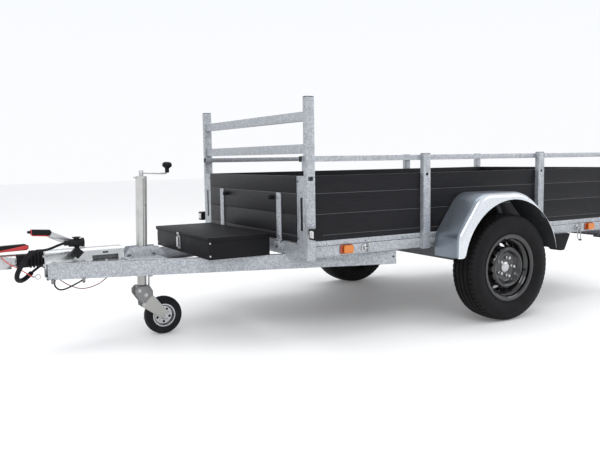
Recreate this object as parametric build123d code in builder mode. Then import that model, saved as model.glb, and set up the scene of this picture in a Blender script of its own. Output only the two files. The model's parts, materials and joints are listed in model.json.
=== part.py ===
from build123d import *
import math
import os

# A single-axle braked low-bed utility trailer: galvanised steel frame on a
# V-shaped drawbar, dark side boards between stakes, a tall frame at the front,
# a steel storage box on the drawbar and a jockey wheel.
# X points to the rear, Y to the trailer's right side, Z up. The origin is
# under the middle of the whole trailer, on the floor it stands on.

# ---------------------------------------------------------------- stations
AX = 761.5  # the wheel axle's place along X
TYRE_R = 314.0  # 195/70 R14
TYRE_HALF = 92.5
TRACK_Y = 782.0  # wheel's middle plane from the trailer's middle plane

BED_F = AX - 1265.0  # front face of the bed
BED_R = AX + 1257.0  # rear face of the bed
BED_Y = 647.0  # outer face of boards and side beams
WALL = 25.0  # thickness of every board
CH_Z0, CH_Z1 = 450.0, 507.0  # chassis side beams
FLOOR_Z = 525.0  # load floor
BOARD_Z0, BOARD_Z1 = 535.0, 875.0
GROOVES = (564.0, 675.0, 783.0)  # heights of the joint and the two grooves
STAKE_Y1 = 676.0  # outer face of posts and stakes
STAKE_X = 50.0
STAKE_Z0, STAKE_Z1 = 446.0, 983.0
POST_Z0, POST_Z1 = 442.0, 1274.0
RAIL_Z0, RAIL_Z1 = 948.0, 977.0  # top rail
TUBE_WALL = 2.5

DRAW_Z0, DRAW_Z1 = 370.0, 450.0  # drawbar rails
DRAW_F = (AX - 2424.0, 52.0)  # outer front corner of a rail, (x, |y|)
DRAW_R = (AX - 665.0, 640.0)  # outer rear corner
DRAW_W, DRAW_T = 40.0, 4.0

BOX_X0, BOX_X1 = AX - 1694.0, AX - 1342.0  # storage box body
BOX_Y = 408.0
BOX_Z0, BOX_Z1 = 450.0, 560.0
LID_HINGE = (AX - 1340.0, 562.0)

JOCKEY_X = AX - 1932.0
JOCKEY_R = 106.0
JOCKEY_AX = AX - 1813.0  # jockey wheel axle

SHAFT_Z = 478.0  # middle of the coupling's shaft
BALL_X = AX - 2762.0  # middle of the ball socket
NOSE_X = AX - 2806.0

FRONT_PIVOT = (AX - 1280.0, 505.0)  # front board's hinge, (x, z)
REAR_PIVOT = (AX + 1272.0, 505.0)  # tailgate's hinge
HINGE_Y = 380.0  # the hinge straps' middle
STRAP_W = 50.0


def side(y):
    """A plane that faces the trailer's left side at y; its own x and y are X and Z."""
    return Plane(origin=(0, y, 0), x_dir=(1, 0, 0), z_dir=(0, -1, 0))


def across(x):
    """A plane across the trailer at x; its own x and y are Y and Z."""
    return Plane(origin=(x, 0, 0), x_dir=(0, 1, 0), z_dir=(1, 0, 0))


def block(x0, x1, y0, y1, z0, z1, mode=Mode.ADD):
    with Locations(((x0 + x1) / 2, (y0 + y1) / 2, (z0 + z1) / 2)):
        Box(abs(x1 - x0), abs(y1 - y0), abs(z1 - z0), mode=mode)


def bar_y(x, z, r, y0, y1, mode=Mode.ADD):
    """A round bar along Y."""
    with Locations(Location((x, (y0 + y1) / 2, z), (90, 0, 0))):
        Cylinder(r, abs(y1 - y0), mode=mode)


def bar_x(y, z, r, x0, x1, mode=Mode.ADD):
    """A round bar along X."""
    with Locations(Location(((x0 + x1) / 2, y, z), (0, 90, 0))):
        Cylinder(r, abs(x1 - x0), mode=mode)


def bar_z(x, y, r, z0, z1, mode=Mode.ADD):
    """A round bar along Z."""
    with Locations((x, y, (z0 + z1) / 2)):
        Cylinder(r, abs(z1 - z0), mode=mode)


def put(piece, name):
    shape = piece.part if isinstance(piece, BuildPart) else piece
    shape.label = name
    export_step(shape, f"parts/{name}.step")


os.makedirs("parts", exist_ok=True)

# ---------------------------------------------------------------- drawbar
run = (DRAW_R[0] - DRAW_F[0], DRAW_R[1] - DRAW_F[1])
run_len = math.hypot(*run)
ux, uy = run[0] / run_len, run[1] / run_len  # along the rail, with |y| growing
nx, ny = uy, -ux  # towards the trailer's middle


def rail_point(along, inward, y_sign=-1):
    return (
        DRAW_F[0] + ux * along + nx * inward,
        y_sign * (DRAW_F[1] + uy * along + ny * inward),
    )


# Each rail is a channel, open towards the middle. Its rear end has one hole.
with BuildPart() as drawbar_rails:
    with BuildSketch(Plane.XY.offset(DRAW_Z0)):
        with BuildLine():
            Polyline(
                rail_point(0, 0), rail_point(run_len, 0),
                rail_point(run_len, DRAW_W), rail_point(0, DRAW_W), close=True,
            )
        make_face()
    extrude(amount=DRAW_Z1 - DRAW_Z0)
    with BuildSketch(Plane.XY.offset(DRAW_Z0 + DRAW_T)):
        with BuildLine():
            Polyline(
                rail_point(-5, DRAW_T), rail_point(run_len + 5, DRAW_T),
                rail_point(run_len + 5, DRAW_W + 5), rail_point(-5, DRAW_W + 5), close=True,
            )
        make_face()
    extrude(amount=DRAW_Z1 - DRAW_Z0 - 2 * DRAW_T, mode=Mode.SUBTRACT)
    hx, hy = rail_point(run_len - 17, 0)
    with Locations(Location((hx, hy, 412), (90, 0, math.degrees(math.atan2(-uy, ux))))):
        Cylinder(6, 30, mode=Mode.SUBTRACT)
    mirror(about=Plane.XZ)
put(drawbar_rails, "drawbar_rails")

# ------------------------------------------------- overrun device and coupling
HOUSE_X0, HOUSE_X1 = AX - 2432.0, AX - 2033.0
with BuildPart() as overrun_housing:
    # the base plate lies on both rails
    with BuildSketch(Plane.XY.offset(DRAW_Z1)):
        with BuildLine():
            Polyline(
                (HOUSE_X0, -50), (HOUSE_X1 - 20, -165), (HOUSE_X1 - 20, 165), (HOUSE_X0, 50),
                close=True,
            )
        make_face()
    extrude(amount=4)
    # the pressed cover, open below
    with BuildSketch(across(HOUSE_X0)):
        with BuildLine():
            Polyline(
                (-56, 454), (-46, 500), (-34, 516), (34, 516), (46, 500), (56, 454),
                (51, 454), (41.5, 498), (32, 511), (-32, 511), (-41.5, 498), (-51, 454),
                close=True,
            )
        make_face()
    extrude(amount=HOUSE_X1 - HOUSE_X0)
    # the side windows at the rear end and a slot in each side
    block(HOUSE_X0 + 232, HOUSE_X0 + 368, -70, 70, 454, 478, Mode.SUBTRACT)
    block(HOUSE_X0 + 288, HOUSE_X0 + 316, -70, 70, 486, 495, Mode.SUBTRACT)
    # the front end plate, which the shaft runs through
    with BuildSketch(across(HOUSE_X0 - 6)):
        with BuildLine():
            Polyline((-58, 428), (-58, 470), (-40, 518), (40, 518), (58, 470), (58, 428), close=True)
        make_face()
        with Locations((0, SHAFT_Z)):
            Circle(25.5, mode=Mode.SUBTRACT)
    extrude(amount=6)
    bar_x(0, SHAFT_Z, 25.5, HOUSE_X0 - 10, HOUSE_X0 + 160, Mode.SUBTRACT)
put(overrun_housing, "overrun_housing")

with BuildPart() as coupling_shaft:
    bar_x(0, SHAFT_Z, 25, AX - 2600, HOUSE_X0 + 150)
    bar_x(0, SHAFT_Z, 20, AX - 2610, HOUSE_X0 + 160, Mode.SUBTRACT)
    # the collar that carries the front end of the gaiter
    block(AX - 2563, AX - 2508, -33, 33, SHAFT_Z - 36, SHAFT_Z + 27)
    bar_x(0, SHAFT_Z, 20, AX - 2610, HOUSE_X0 + 160, Mode.SUBTRACT)
put(coupling_shaft, "coupling_shaft")

GAITER_X0, GAITER_X1 = AX - 2506.0, HOUSE_X0 - 7.0
folds = 4
with BuildPart() as shaft_gaiter:
    with BuildSketch(Plane.XY.offset(SHAFT_Z)):
        with BuildLine():
            step = (GAITER_X1 - GAITER_X0) / folds
            pts = [(GAITER_X0, 25.4), (GAITER_X0, 36)]
            for k in range(folds):
                x = GAITER_X0 + step * k
                # x from the fold's front, radius
                for dx, r in ((0.22, 46.0), (0.5, 46.0), (0.78, 35.0)):
                    pts.append((x + step * dx, r))
            pts += [(GAITER_X1, 38), (GAITER_X1, 25.4)]
            Polyline(*pts, close=True)
        make_face()
    revolve(axis=Axis((0, 0, SHAFT_Z), (1, 0, 0)), revolution_arc=360)
put(shaft_gaiter, "shaft_gaiter")

# The coupling head: a clamp round the shaft, a channel-shaped body and a cup
# over a 50 mm ball, open below.
with BuildPart() as coupling_head:
    bar_x(0, SHAFT_Z, 32, AX - 2640, AX - 2566)
    with BuildSketch(Plane.XY.offset(440)):
        with BuildLine():
            Polyline(
                (AX - 2590, -31), (AX - 2590, 31), (AX - 2700, 27), (BALL_X, 34),
                (BALL_X - 20, 34), (BALL_X - 20, -34), (BALL_X, -34), (AX - 2700, -27), close=True,
            )
        make_face()
    extrude(amount=58)
    bar_z(BALL_X, 0, 43, 436, 492)
    with Locations((BALL_X, 0, 492)):
        Sphere(43)
    block(BALL_X - 60, BALL_X + 60, -60, 60, 512, 560, Mode.SUBTRACT)
    bar_z(BALL_X, 0, 25.5, 420, 466, Mode.SUBTRACT)
    with Locations((BALL_X, 0, 466)):
        Sphere(25.5, mode=Mode.SUBTRACT)
    bar_x(0, SHAFT_Z, 25, AX - 2600, AX - 2500, Mode.SUBTRACT)
put(coupling_head, "coupling_head")

# The handle starts at the head's top, rises and lies back over the shaft.
with BuildPart() as coupling_handle:
    with BuildSketch(side(17)):
        with BuildLine():
            Polyline(
                (AX - 2712, 514), (AX - 2702, 540), (AX - 2672, 554), (AX - 2520, 558),
                (AX - 2502, 548), (AX - 2504, 532), (AX - 2630, 528), (AX - 2660, 514), close=True,
            )
        make_face()
    extrude(amount=34)
    fillet(coupling_handle.edges().filter_by(GeomType.LINE).filter_by(Axis.X, reverse=True).filter_by(Axis.Y, reverse=True).filter_by(lambda e: abs((e @ 0).Y - (e @ 1).Y) < 0.01), 5)
put(coupling_handle, "coupling_handle")

# Handbrake: a folded steel arm from a pivot on the housing, and its grip.
with BuildPart() as handbrake_lever:
    with BuildSketch(side(9)):
        with BuildLine():
            Polyline(
                (AX - 2270, 518), (AX - 2222, 518), (AX - 2236, 542), (AX - 2388, 612),
                (AX - 2404, 580), close=True,
            )
        make_face()
    extrude(amount=18)
put(handbrake_lever, "handbrake_lever")

with BuildPart() as handbrake_grip:
    with BuildSketch(side(14)):
        with BuildLine():
            Polyline(
                (AX - 2400, 592), (AX - 2389.2, 614), (AX - 2396, 622), (AX - 2484, 628),
                (AX - 2488, 622), (AX - 2505, 621), (AX - 2505, 609), (AX - 2488, 608),
                (AX - 2486, 600), (AX - 2420, 596), close=True,
            )
        make_face()
    extrude(amount=28)
put(handbrake_grip, "handbrake_grip")

# The trailer's plug, parked in its holder on the housing's left side.
PLUG = (AX - 2345.0, -86.0, 556.0)  # where the cable leaves it
with BuildPart() as plug_holder:
    with Locations(Location((AX - 2283, -84, 505), (0, 45, 0))):
        Box(44, 38, 44)
    block(AX - 2291, AX - 2275, -66, -47.8, 492, 499)
    bar_z(AX - 2283, -84, 12, 520, 536.3)
    bar_x(-86, 556, 20.2, AX - 2350, AX - 2200, Mode.SUBTRACT)
put(plug_holder, "plug_holder")

with BuildPart() as trailer_plug:
    bar_x(PLUG[1], PLUG[2], 20, AX - 2322, AX - 2248)
    bar_x(PLUG[1], PLUG[2], 13, PLUG[0], AX - 2322)
    bar_x(PLUG[1], PLUG[2], 23, AX - 2258, AX - 2248)
    bar_z(AX - 2284, PLUG[1], 14, 570, 582)
    bar_z(AX - 2284, PLUG[1], 22, 581, 585)
put(trailer_plug, "trailer_plug")

# ---------------------------------------------------------------- cords
# Points of each cord's route, with its diameter. Runs are straight, and the
# arcs between them are as large as the two runs allow.
CORDS = {
    "lighting_cable": (13.0, [
        (AX - 2345, -86, 556), (AX - 2374, -86, 549), (AX - 2404, -84, 536),
        (AX - 2440, -81, 527), (AX - 2478, -79, 529), (AX - 2508, -77, 517),
        (AX - 2532, -75, 487), (AX - 2553, -73, 454), (AX - 2571, -67, 420),
        (AX - 2572, -49, 390), (AX - 2554, -20, 374), (AX - 2526, 6, 378),
        (AX - 2500, 24, 396), (AX - 2472, 35, 417), (HOUSE_X0 - 6, 41, 438),
    ]),
    "breakaway_cable": (5.0, [
        (AX - 2634, -24, 500), (AX - 2632, -40, 498), (AX - 2624, -51, 488), (AX - 2610, -56, 474),
        (AX - 2592, -58, 461), (AX - 2572, -57, 449), (AX - 2553, -54, 436), (AX - 2534, -51, 422),
        (AX - 2515, -48, 407), (AX - 2497, -44, 393),
    ]),
    "brake_cable": (8.0, [
        (AX - 2388, -40, 371), (AX - 2395, -42, 350), (AX - 2389, -45, 328),
        (AX - 2370, -49, 313), (AX - 2343, -54, 316), (AX - 2317, -60, 328),
        (AX - 2290, -66, 341), (AX - 2263, -74, 356), (AX - 2240, -80, 371),
    ]),
    "control_wire": (5.0, [
        (AX - 2372, -31, 371), (AX - 2346, -35, 348), (AX - 2310, -45, 326), (AX - 2272, -60, 311),
        (AX - 2232, -76, 314), (AX - 2192, -93, 329), (AX - 2160, -106, 350), (AX - 2140, -114, 371),
    ]),
}


def cord_radii(points):
    out = []
    for a, b, c in zip(points, points[1:], points[2:]):
        va = Vector(*b) - Vector(*a)
        vb = Vector(*c) - Vector(*b)
        turn = math.radians(va.get_angle(vb))
        out.append(0.45 * min(va.length, vb.length) / math.tan(turn / 2))
    return out


for cord_name, (dia, route) in CORDS.items():
    radii = cord_radii(route)
    with BuildPart() as cord:
        with BuildLine() as path:
            FilletPolyline(*route, radius=radii)
        middle = path.wire()
        with BuildSketch(Plane(origin=middle @ 0, z_dir=middle % 0)):
            Circle(dia / 2)
        sweep(path=middle)
    put(cord, cord_name)
    length = middle.length
    print(
        cord_name, "length", round(length), "radii", [round(r) for r in radii], "least", round(min(radii)),
        "volume ratio", round(cord.part.volume / (math.pi * dia * dia / 4 * length), 4),
    )

# The snap hook on the breakaway cable's end.
with BuildPart() as breakaway_clip:
    bar_x(-44, 393, 5, AX - 2497, AX - 2485)
    with Locations(Location((AX - 2471, -44, 391), (90, 0, 0))):
        Torus(12, 2.6)
    block(AX - 2486.5, AX - 2482, -46.6, -41.4, 388, 397)
put(breakaway_clip, "breakaway_clip")

# ---------------------------------------------------------------- jockey wheel
# The mast leans back a little, about the wheel's own axis.
LEAN = 1.7


def leant(piece):
    return piece.part.rotate(Axis((JOCKEY_AX, 0, JOCKEY_R), (0, 1, 0)), LEAN)


with BuildPart() as mast_bore:
    bar_z(JOCKEY_X, 0, 30.1, 420, 540)

# Side plates and clamp on a base plate that lies across both rails.
with BuildPart() as jockey_bracket:
    with BuildSketch(Plane.XY.offset(DRAW_Z1)):
        with BuildLine():
            Polyline(
                (AX - 2040, -160), (AX - 1850, -225), (AX - 1850, 225), (AX - 2040, 160), close=True,
            )
        make_face()
    extrude(amount=4)
    with BuildSketch(side(-38)):
        with BuildLine():
            Polyline((AX - 2040, 454), (AX - 1997, 503), (AX - 1842, 503), (AX - 1800, 454), close=True)
        make_face()
    extrude(amount=6)
    with BuildSketch(side(44)):
        with BuildLine():
            Polyline((AX - 2040, 454), (AX - 1997, 503), (AX - 1842, 503), (AX - 1800, 454), close=True)
        make_face()
    extrude(amount=6)
    block(JOCKEY_X - 25, JOCKEY_X + 47, -38, 38, 454, 498)
    add(leant(mast_bore), mode=Mode.SUBTRACT)
put(jockey_bracket, "jockey_bracket")

with BuildPart() as jockey_outer_tube:
    bar_z(JOCKEY_X, 0, 30, 395, 880)
    bar_z(JOCKEY_X, 0, 26.5, 385, 874, Mode.SUBTRACT)
put(leant(jockey_outer_tube), "jockey_outer_tube")

KNOB_X = AX - 1785.0
with BuildPart() as jockey_crank:
    bar_z(JOCKEY_X, 0, 11, 880, 911)
    bar_x(0, 896, 6, JOCKEY_X, KNOB_X)
    bar_z(KNOB_X, 0, 8, 889, 900)
    with BuildSketch(side(0)):
        with BuildLine():
            Polyline(
                (KNOB_X, 900), (KNOB_X + 12, 900), (KNOB_X + 13, 926), (KNOB_X + 24, 934),
                (KNOB_X + 26, 948), (KNOB_X + 18, 957), (KNOB_X, 959), close=True,
            )
        make_face()
    revolve(axis=Axis((KNOB_X, 0, 0), (0, 0, 1)), revolution_arc=360)
put(leant(jockey_crank), "jockey_crank")

with BuildPart() as jockey_inner_tube:
    bar_z(JOCKEY_X, 0, 25, 285, 700)
    bar_z(JOCKEY_X, 0, 22, 300, 710, Mode.SUBTRACT)
    bar_z(JOCKEY_X, 0, 12, 242, 286)
put(leant(jockey_inner_tube), "jockey_inner_tube")

# The fork: two cheek plates, a bush round the leg's pivot, the release rod
# and the wheel's pin.
cheek = [
    (AX - 1962, 281), (AX - 1900, 281), (AX - 1882, 252), (AX - 1880, 196), (AX - 1796, 118),
    (AX - 1800, 92), (AX - 1826, 88), (AX - 1930, 172), (AX - 1978, 236), (AX - 1980, 262),
]
with BuildPart() as jockey_fork:
    for y in (-36.0, 41.0):
        with BuildSketch(side(y)):
            with BuildLine():
                Polyline(*cheek, close=True)
            make_face()
        extrude(amount=5)
    block(JOCKEY_X - 32, JOCKEY_X + 30, -36, 36, 240, 281)
    bar_z(JOCKEY_X, 0, 12.06, 230, 290, Mode.SUBTRACT)
    bar_z(JOCKEY_X + 39, 0, 4, 260, 336)
    block(JOCKEY_X + 28, JOCKEY_X + 46, -7, 7, 242, 268)
    bar_y(JOCKEY_AX, JOCKEY_R, 8, -46, 46)
put(leant(jockey_fork), "jockey_fork")

with BuildPart() as jockey_tyre:
    with BuildSketch(Plane.XY.offset(JOCKEY_R)):
        with BuildLine():
            Polyline((JOCKEY_AX + 64, -23), (JOCKEY_AX + 76, -28), (JOCKEY_AX + 92, -30))
            ThreePointArc((JOCKEY_AX + 92, -30), (JOCKEY_AX + 100.5, -24), (JOCKEY_AX + 104.5, -14))
            ThreePointArc((JOCKEY_AX + 104.5, -14), (JOCKEY_AX + 106, 0), (JOCKEY_AX + 104.5, 14))
            ThreePointArc((JOCKEY_AX + 104.5, 14), (JOCKEY_AX + 100.5, 24), (JOCKEY_AX + 92, 30))
            Polyline((JOCKEY_AX + 92, 30), (JOCKEY_AX + 76, 28), (JOCKEY_AX + 64, 23), (JOCKEY_AX + 64, -23))
        make_face()
    revolve(axis=Axis((JOCKEY_AX, 0, JOCKEY_R), (0, 1, 0)), revolution_arc=360)
put(jockey_tyre, "jockey_tyre")

with BuildPart() as jockey_rim:
    with BuildSketch(Plane.XY.offset(JOCKEY_R)):
        with BuildLine():
            # (radius, y)
            Polyline(*[(JOCKEY_AX + r, y) for r, y in (
                (8.08, -32), (16, -32), (16, -8), (52, -8), (58, -23), (64, -23),
                (64, 23), (58, 23), (52, 8), (16, 8), (16, 32), (8.08, 32),
            )], close=True)
        make_face()
    revolve(axis=Axis((JOCKEY_AX, 0, JOCKEY_R), (0, 1, 0)), revolution_arc=360)
put(jockey_rim, "jockey_rim")

# ---------------------------------------------------------------- storage box
with BuildPart() as storage_box:
    block(BOX_X0, BOX_X1, -BOX_Y, BOX_Y, BOX_Z0, BOX_Z1)
    block(BOX_X0 + 3, BOX_X1 - 3, -BOX_Y + 3, BOX_Y - 3, BOX_Z0 + 3, BOX_Z1 + 5, Mode.SUBTRACT)
put(storage_box, "storage_box")

LID_X0, LID_X1 = BOX_X0 - 6.0, BOX_X1 + 6.0
with BuildPart() as storage_box_lid:
    block(LID_X0, LID_X1, -BOX_Y - 6, BOX_Y + 6, 562, 566)
    # a skirt on three sides, and none along the hinge
    block(LID_X0, LID_X0 + 3, -BOX_Y - 6, BOX_Y + 6, 546, 562)
    block(LID_X0, BOX_X1 - 12, -BOX_Y - 6, -BOX_Y - 3, 546, 562)
    block(LID_X0, BOX_X1 - 12, BOX_Y + 3, BOX_Y + 6, 546, 562)
put(storage_box_lid, "storage_box_lid")

# ---------------------------------------------------------------- chassis
BEAM_W = 45.0
FRONT_BEAM = (BED_F, BED_F + 30.0, 450.0, 521.0)
REAR_BEAM = (BED_R - 30.0, BED_R, 450.0, 521.0)
with BuildPart() as chassis_side_beams:
    block(FRONT_BEAM[1], REAR_BEAM[0], -BED_Y, -BED_Y + BEAM_W, CH_Z0, CH_Z1)
    block(FRONT_BEAM[1] - 5, REAR_BEAM[0] + 5, -BED_Y + 3, -BED_Y + BEAM_W + 5, CH_Z0 + 3, CH_Z1 - 3, Mode.SUBTRACT)
    mirror(about=Plane.XZ)
put(chassis_side_beams, "chassis_side_beams")

with BuildPart() as cross_members:
    for x0, x1, z0, z1 in (FRONT_BEAM, REAR_BEAM):
        block(x0, x1, -BED_Y, BED_Y, z0, z1)
        block(x0 + 3, x1 - 3, -BED_Y - 5, BED_Y + 5, z0 + 3, z1 - 3, Mode.SUBTRACT)
    for x in (-820.0, -410.0, 0.0, 410.0, 820.0):
        block(AX + x - 20, AX + x + 20, -BED_Y + BEAM_W, BED_Y - BEAM_W, CH_Z0, CH_Z1)
        block(AX + x - 17, AX + x + 17, -BED_Y, BED_Y, CH_Z0 + 3, CH_Z1 - 3, Mode.SUBTRACT)
put(cross_members, "cross_members")

with BuildPart() as floor_panel:
    block(FRONT_BEAM[1] + 1, REAR_BEAM[0] - 2, -BED_Y + WALL, BED_Y - WALL, CH_Z1, FLOOR_Z)
put(floor_panel, "floor_panel")

with BuildPart() as sill_strips:
    block(BED_F + WALL, BED_R, -BED_Y, -BED_Y + WALL, CH_Z1, BOARD_Z0)
    block(BED_F, BED_R + 5, -BED_Y + 2.5, -BED_Y + WALL - 2.5, CH_Z1 + 2.5, BOARD_Z0 - 2.5, Mode.SUBTRACT)
    block(REAR_BEAM[0], BED_R + 5, -BED_Y - 1, -BED_Y + WALL + 1, CH_Z1 - 1, 521, Mode.SUBTRACT)
    block(BED_F, FRONT_BEAM[1], -BED_Y - 1, -BED_Y + WALL + 1, CH_Z1 - 1, 521, Mode.SUBTRACT)
    mirror(about=Plane.XZ)
put(sill_strips, "sill_strips")


def grooved_board(x0, x1, y0, y1, z0, z1, faces):
    """A board with shallow grooves along its length. faces lists the open faces' directions."""
    block(x0, x1, y0, y1, z0, z1)
    for z in GROOVES:
        for face in faces:
            if face == "-y":
                block(x0 - 1, x1 + 1, y0 - 1, y0 + 1.5, z - 1.5, z + 1.5, Mode.SUBTRACT)
            if face == "+y":
                block(x0 - 1, x1 + 1, y1 - 1.5, y1 + 1, z - 1.5, z + 1.5, Mode.SUBTRACT)
            if face == "-x":
                block(x0 - 1, x0 + 1.5, y0 - 1, y1 + 1, z - 1.5, z + 1.5, Mode.SUBTRACT)
            if face == "+x":
                block(x1 - 1.5, x1 + 1, y0 - 1, y1 + 1, z - 1.5, z + 1.5, Mode.SUBTRACT)


with BuildPart() as side_board_left:
    grooved_board(BED_F + WALL, BED_R, -BED_Y, -BED_Y + WALL, BOARD_Z0, BOARD_Z1, ("-y", "+y"))
put(side_board_left, "side_board_left")

with BuildPart() as side_board_right:
    grooved_board(BED_F + WALL, BED_R, BED_Y - WALL, BED_Y, BOARD_Z0, BOARD_Z1, ("-y", "+y"))
put(side_board_right, "side_board_right")

# The galvanised corner posts of the front wall, each with a recess for the
# board's lock.
CORNER_Y = 574.0
with BuildPart() as front_corner_plates:
    block(BED_F, BED_F + WALL, -BED_Y, -CORNER_Y, 521, BOARD_Z1)
    block(BED_F - 1, BED_F + 12, -632, -608, 591, 799, Mode.SUBTRACT)
    mirror(about=Plane.XZ)
put(front_corner_plates, "front_corner_plates")

# ------------------------------------------------- posts, stakes and rails
with BuildPart() as headframe_posts:
    block(BED_F, BED_F + STAKE_X, -STAKE_Y1, -BED_Y, POST_Z0, POST_Z1)
    block(BED_F + TUBE_WALL, BED_F + STAKE_X - TUBE_WALL, -STAKE_Y1 + TUBE_WALL, -BED_Y - TUBE_WALL, POST_Z0 - 5, POST_Z1 - 3, Mode.SUBTRACT)
    block(BED_F + 10, BED_F + 40, -STAKE_Y1 - 1, -STAKE_Y1 + 5, 851, 873, Mode.SUBTRACT)
    mirror(about=Plane.XZ)
put(headframe_posts, "headframe_posts")

with BuildPart() as headframe_crossbars:
    for z0, z1 in ((990.0, 1038.0), (1155.0, 1203.0)):
        block(BED_F + 10, BED_F + 40, -BED_Y, BED_Y, z0, z1)
        block(BED_F + 12.5, BED_F + 37.5, -BED_Y - 5, BED_Y + 5, z0 + 2.5, z1 - 2.5, Mode.SUBTRACT)
put(headframe_crossbars, "headframe_crossbars")

with BuildPart() as side_stakes:
    for x0 in (AX - 499.0, AX + 438.0, BED_R - STAKE_X):
        block(x0, x0 + STAKE_X, -STAKE_Y1, -BED_Y, STAKE_Z0, STAKE_Z1)
        block(x0 + TUBE_WALL, x0 + STAKE_X - TUBE_WALL, -STAKE_Y1 + TUBE_WALL, -BED_Y - TUBE_WALL, STAKE_Z0 - 5, STAKE_Z1 - 3, Mode.SUBTRACT)
        bar_y(x0 + STAKE_X / 2, 867, 8.5, -STAKE_Y1 - 1, -STAKE_Y1 + 5, Mode.SUBTRACT)
    mirror(about=Plane.XZ)
put(side_stakes, "side_stakes")

with BuildPart() as top_rails:
    block(BED_F - 8, BED_R, -BED_Y, -BED_Y + 28, RAIL_Z0, RAIL_Z1)
    block(BED_F - 30, BED_R + 10, -BED_Y + TUBE_WALL, -BED_Y + 28 - TUBE_WALL, RAIL_Z0 + TUBE_WALL, RAIL_Z1 - TUBE_WALL, Mode.SUBTRACT)
    mirror(about=Plane.XZ)
put(top_rails, "top_rails")

# ---------------------------------------------------------------- front board
PIN_R = 6.0
with BuildPart() as front_board:
    grooved_board(BED_F, BED_F + WALL, -CORNER_Y + 6, CORNER_Y - 6, 527, BOARD_Z1, ("-x", "+x"))
put(front_board, "front_board")

with BuildPart() as front_board_straps:
    for y in (-HINGE_Y, HINGE_Y):
        block(BED_F - 5, BED_F, y - STRAP_W / 2, y + STRAP_W / 2, 527, 783)
        block(FRONT_PIVOT[0], BED_F - 3, y - STRAP_W / 2, y + STRAP_W / 2, FRONT_PIVOT[1], 530)
        bar_y(FRONT_PIVOT[0], FRONT_PIVOT[1], 10, y - STRAP_W / 2, y + STRAP_W / 2)
        bar_y(FRONT_PIVOT[0], FRONT_PIVOT[1], PIN_R + 0.08, y - STRAP_W, y + STRAP_W, Mode.SUBTRACT)
put(front_board_straps, "front_board_straps")

with BuildPart() as front_board_buffers:
    for y in (-305.0, 305.0):
        bar_x(y, 755, 12, BED_F - 25, BED_F)
put(front_board_buffers, "front_board_buffers")

# ---------------------------------------------------------------- tailgate
with BuildPart() as tailgate:
    grooved_board(BED_R - WALL, BED_R, -BED_Y + WALL + 6, BED_Y - WALL - 6, 527, BOARD_Z1, ("-x", "+x"))
put(tailgate, "tailgate")

REAR_HINGES = (-HINGE_Y - 40.0, 0.0, HINGE_Y + 40.0)
with BuildPart() as tailgate_straps:
    for y in REAR_HINGES:
        block(BED_R, BED_R + 5, y - STRAP_W / 2, y + STRAP_W / 2, 527, 660)
        block(BED_R + 3, REAR_PIVOT[0], y - STRAP_W / 2, y + STRAP_W / 2, REAR_PIVOT[1], 530)
        bar_y(REAR_PIVOT[0], REAR_PIVOT[1], 10, y - STRAP_W / 2, y + STRAP_W / 2)
        bar_y(REAR_PIVOT[0], REAR_PIVOT[1], PIN_R + 0.08, y - STRAP_W, y + STRAP_W, Mode.SUBTRACT)
put(tailgate_straps, "tailgate_straps")

# Each hinge bracket: a foot on the beam, two ears and the pin.
with BuildPart() as board_hinge_brackets:
    for pivot, face, way, places in (
        (FRONT_PIVOT, BED_F, -1.0, (-HINGE_Y, HINGE_Y)),
        (REAR_PIVOT, BED_R, 1.0, REAR_HINGES),
    ):
        for y in places:
            half = STRAP_W / 2
            block(face, face + way * 3, y - half - 10, y + half + 10, 470, 503)
            for s in (-1.0, 1.0):
                block(face, pivot[0] + way * 9, y + s * (half + 1), y + s * (half + 8), 488, 514)
            bar_y(pivot[0], pivot[1], PIN_R, y - half - 10, y + half + 10)
put(board_hinge_brackets, "board_hinge_brackets")

# ---------------------------------------------------------------- mudguards
# Side outline of a mudguard: (x from the axle, z, corner radius)
GUARD = ((-423, 404, 0), (-420, 525, 70), (-250, 757, 130), (110, 757, 240), (345, 520, 200), (366, 403, 0))
GUARD_Y0, GUARD_Y1, GUARD_T = 684.0, 884.0, 2.5
with BuildPart() as mudguards:
    with BuildSketch(side(-GUARD_Y0)) as shell:
        with BuildLine() as arch:
            FilletPolyline(*[(AX + x, z) for x, z, r in GUARD], radius=[r for x, z, r in GUARD[1:-1]])
            offset(amount=-GUARD_T, side=Side.RIGHT, closed=True)
        make_face()
    extrude(amount=GUARD_Y1 - GUARD_Y0)
    # the outer lip, deep at the front and top, which runs out at the rear
    with BuildSketch(side(-GUARD_Y1 + GUARD_T)) as lip:
        with BuildLine():
            FilletPolyline(*[(AX + x, z) for x, z, r in GUARD], radius=[r for x, z, r in GUARD[1:-1]])
            Line((AX + 366, 403), (AX + 362, 403))
            ThreePointArc((AX + 362, 403), (AX - 5, 714), (AX - 375, 404))
            Line((AX - 375, 404), (AX - 423, 404))
        make_face()
    extrude(amount=GUARD_T)
    mirror(about=Plane.XZ)
put(mudguards, "mudguards")

with BuildPart() as mudguard_stays:
    for x0, x1 in ((-418.0, -350.0), (290.0, 340.0)):
        block(AX + x0, AX + x1, -GUARD_Y0, -BED_Y, 462, 468)
        block(AX + x0, AX + x1, -GUARD_Y0 - 30, -GUARD_Y0, 462, 468)
    with BuildSketch(side(-GUARD_Y0 + 6)):
        with BuildLine():
            Polyline((AX + 20, 754), (AX + 50, 754), (AX + 190, 470), (AX + 160, 470), close=True)
        make_face()
    extrude(amount=6)
    block(AX + 160, AX + 190, -GUARD_Y0, -BED_Y, 470, 490)
    mirror(about=Plane.XZ)
put(mudguard_stays, "mudguard_stays")

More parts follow.
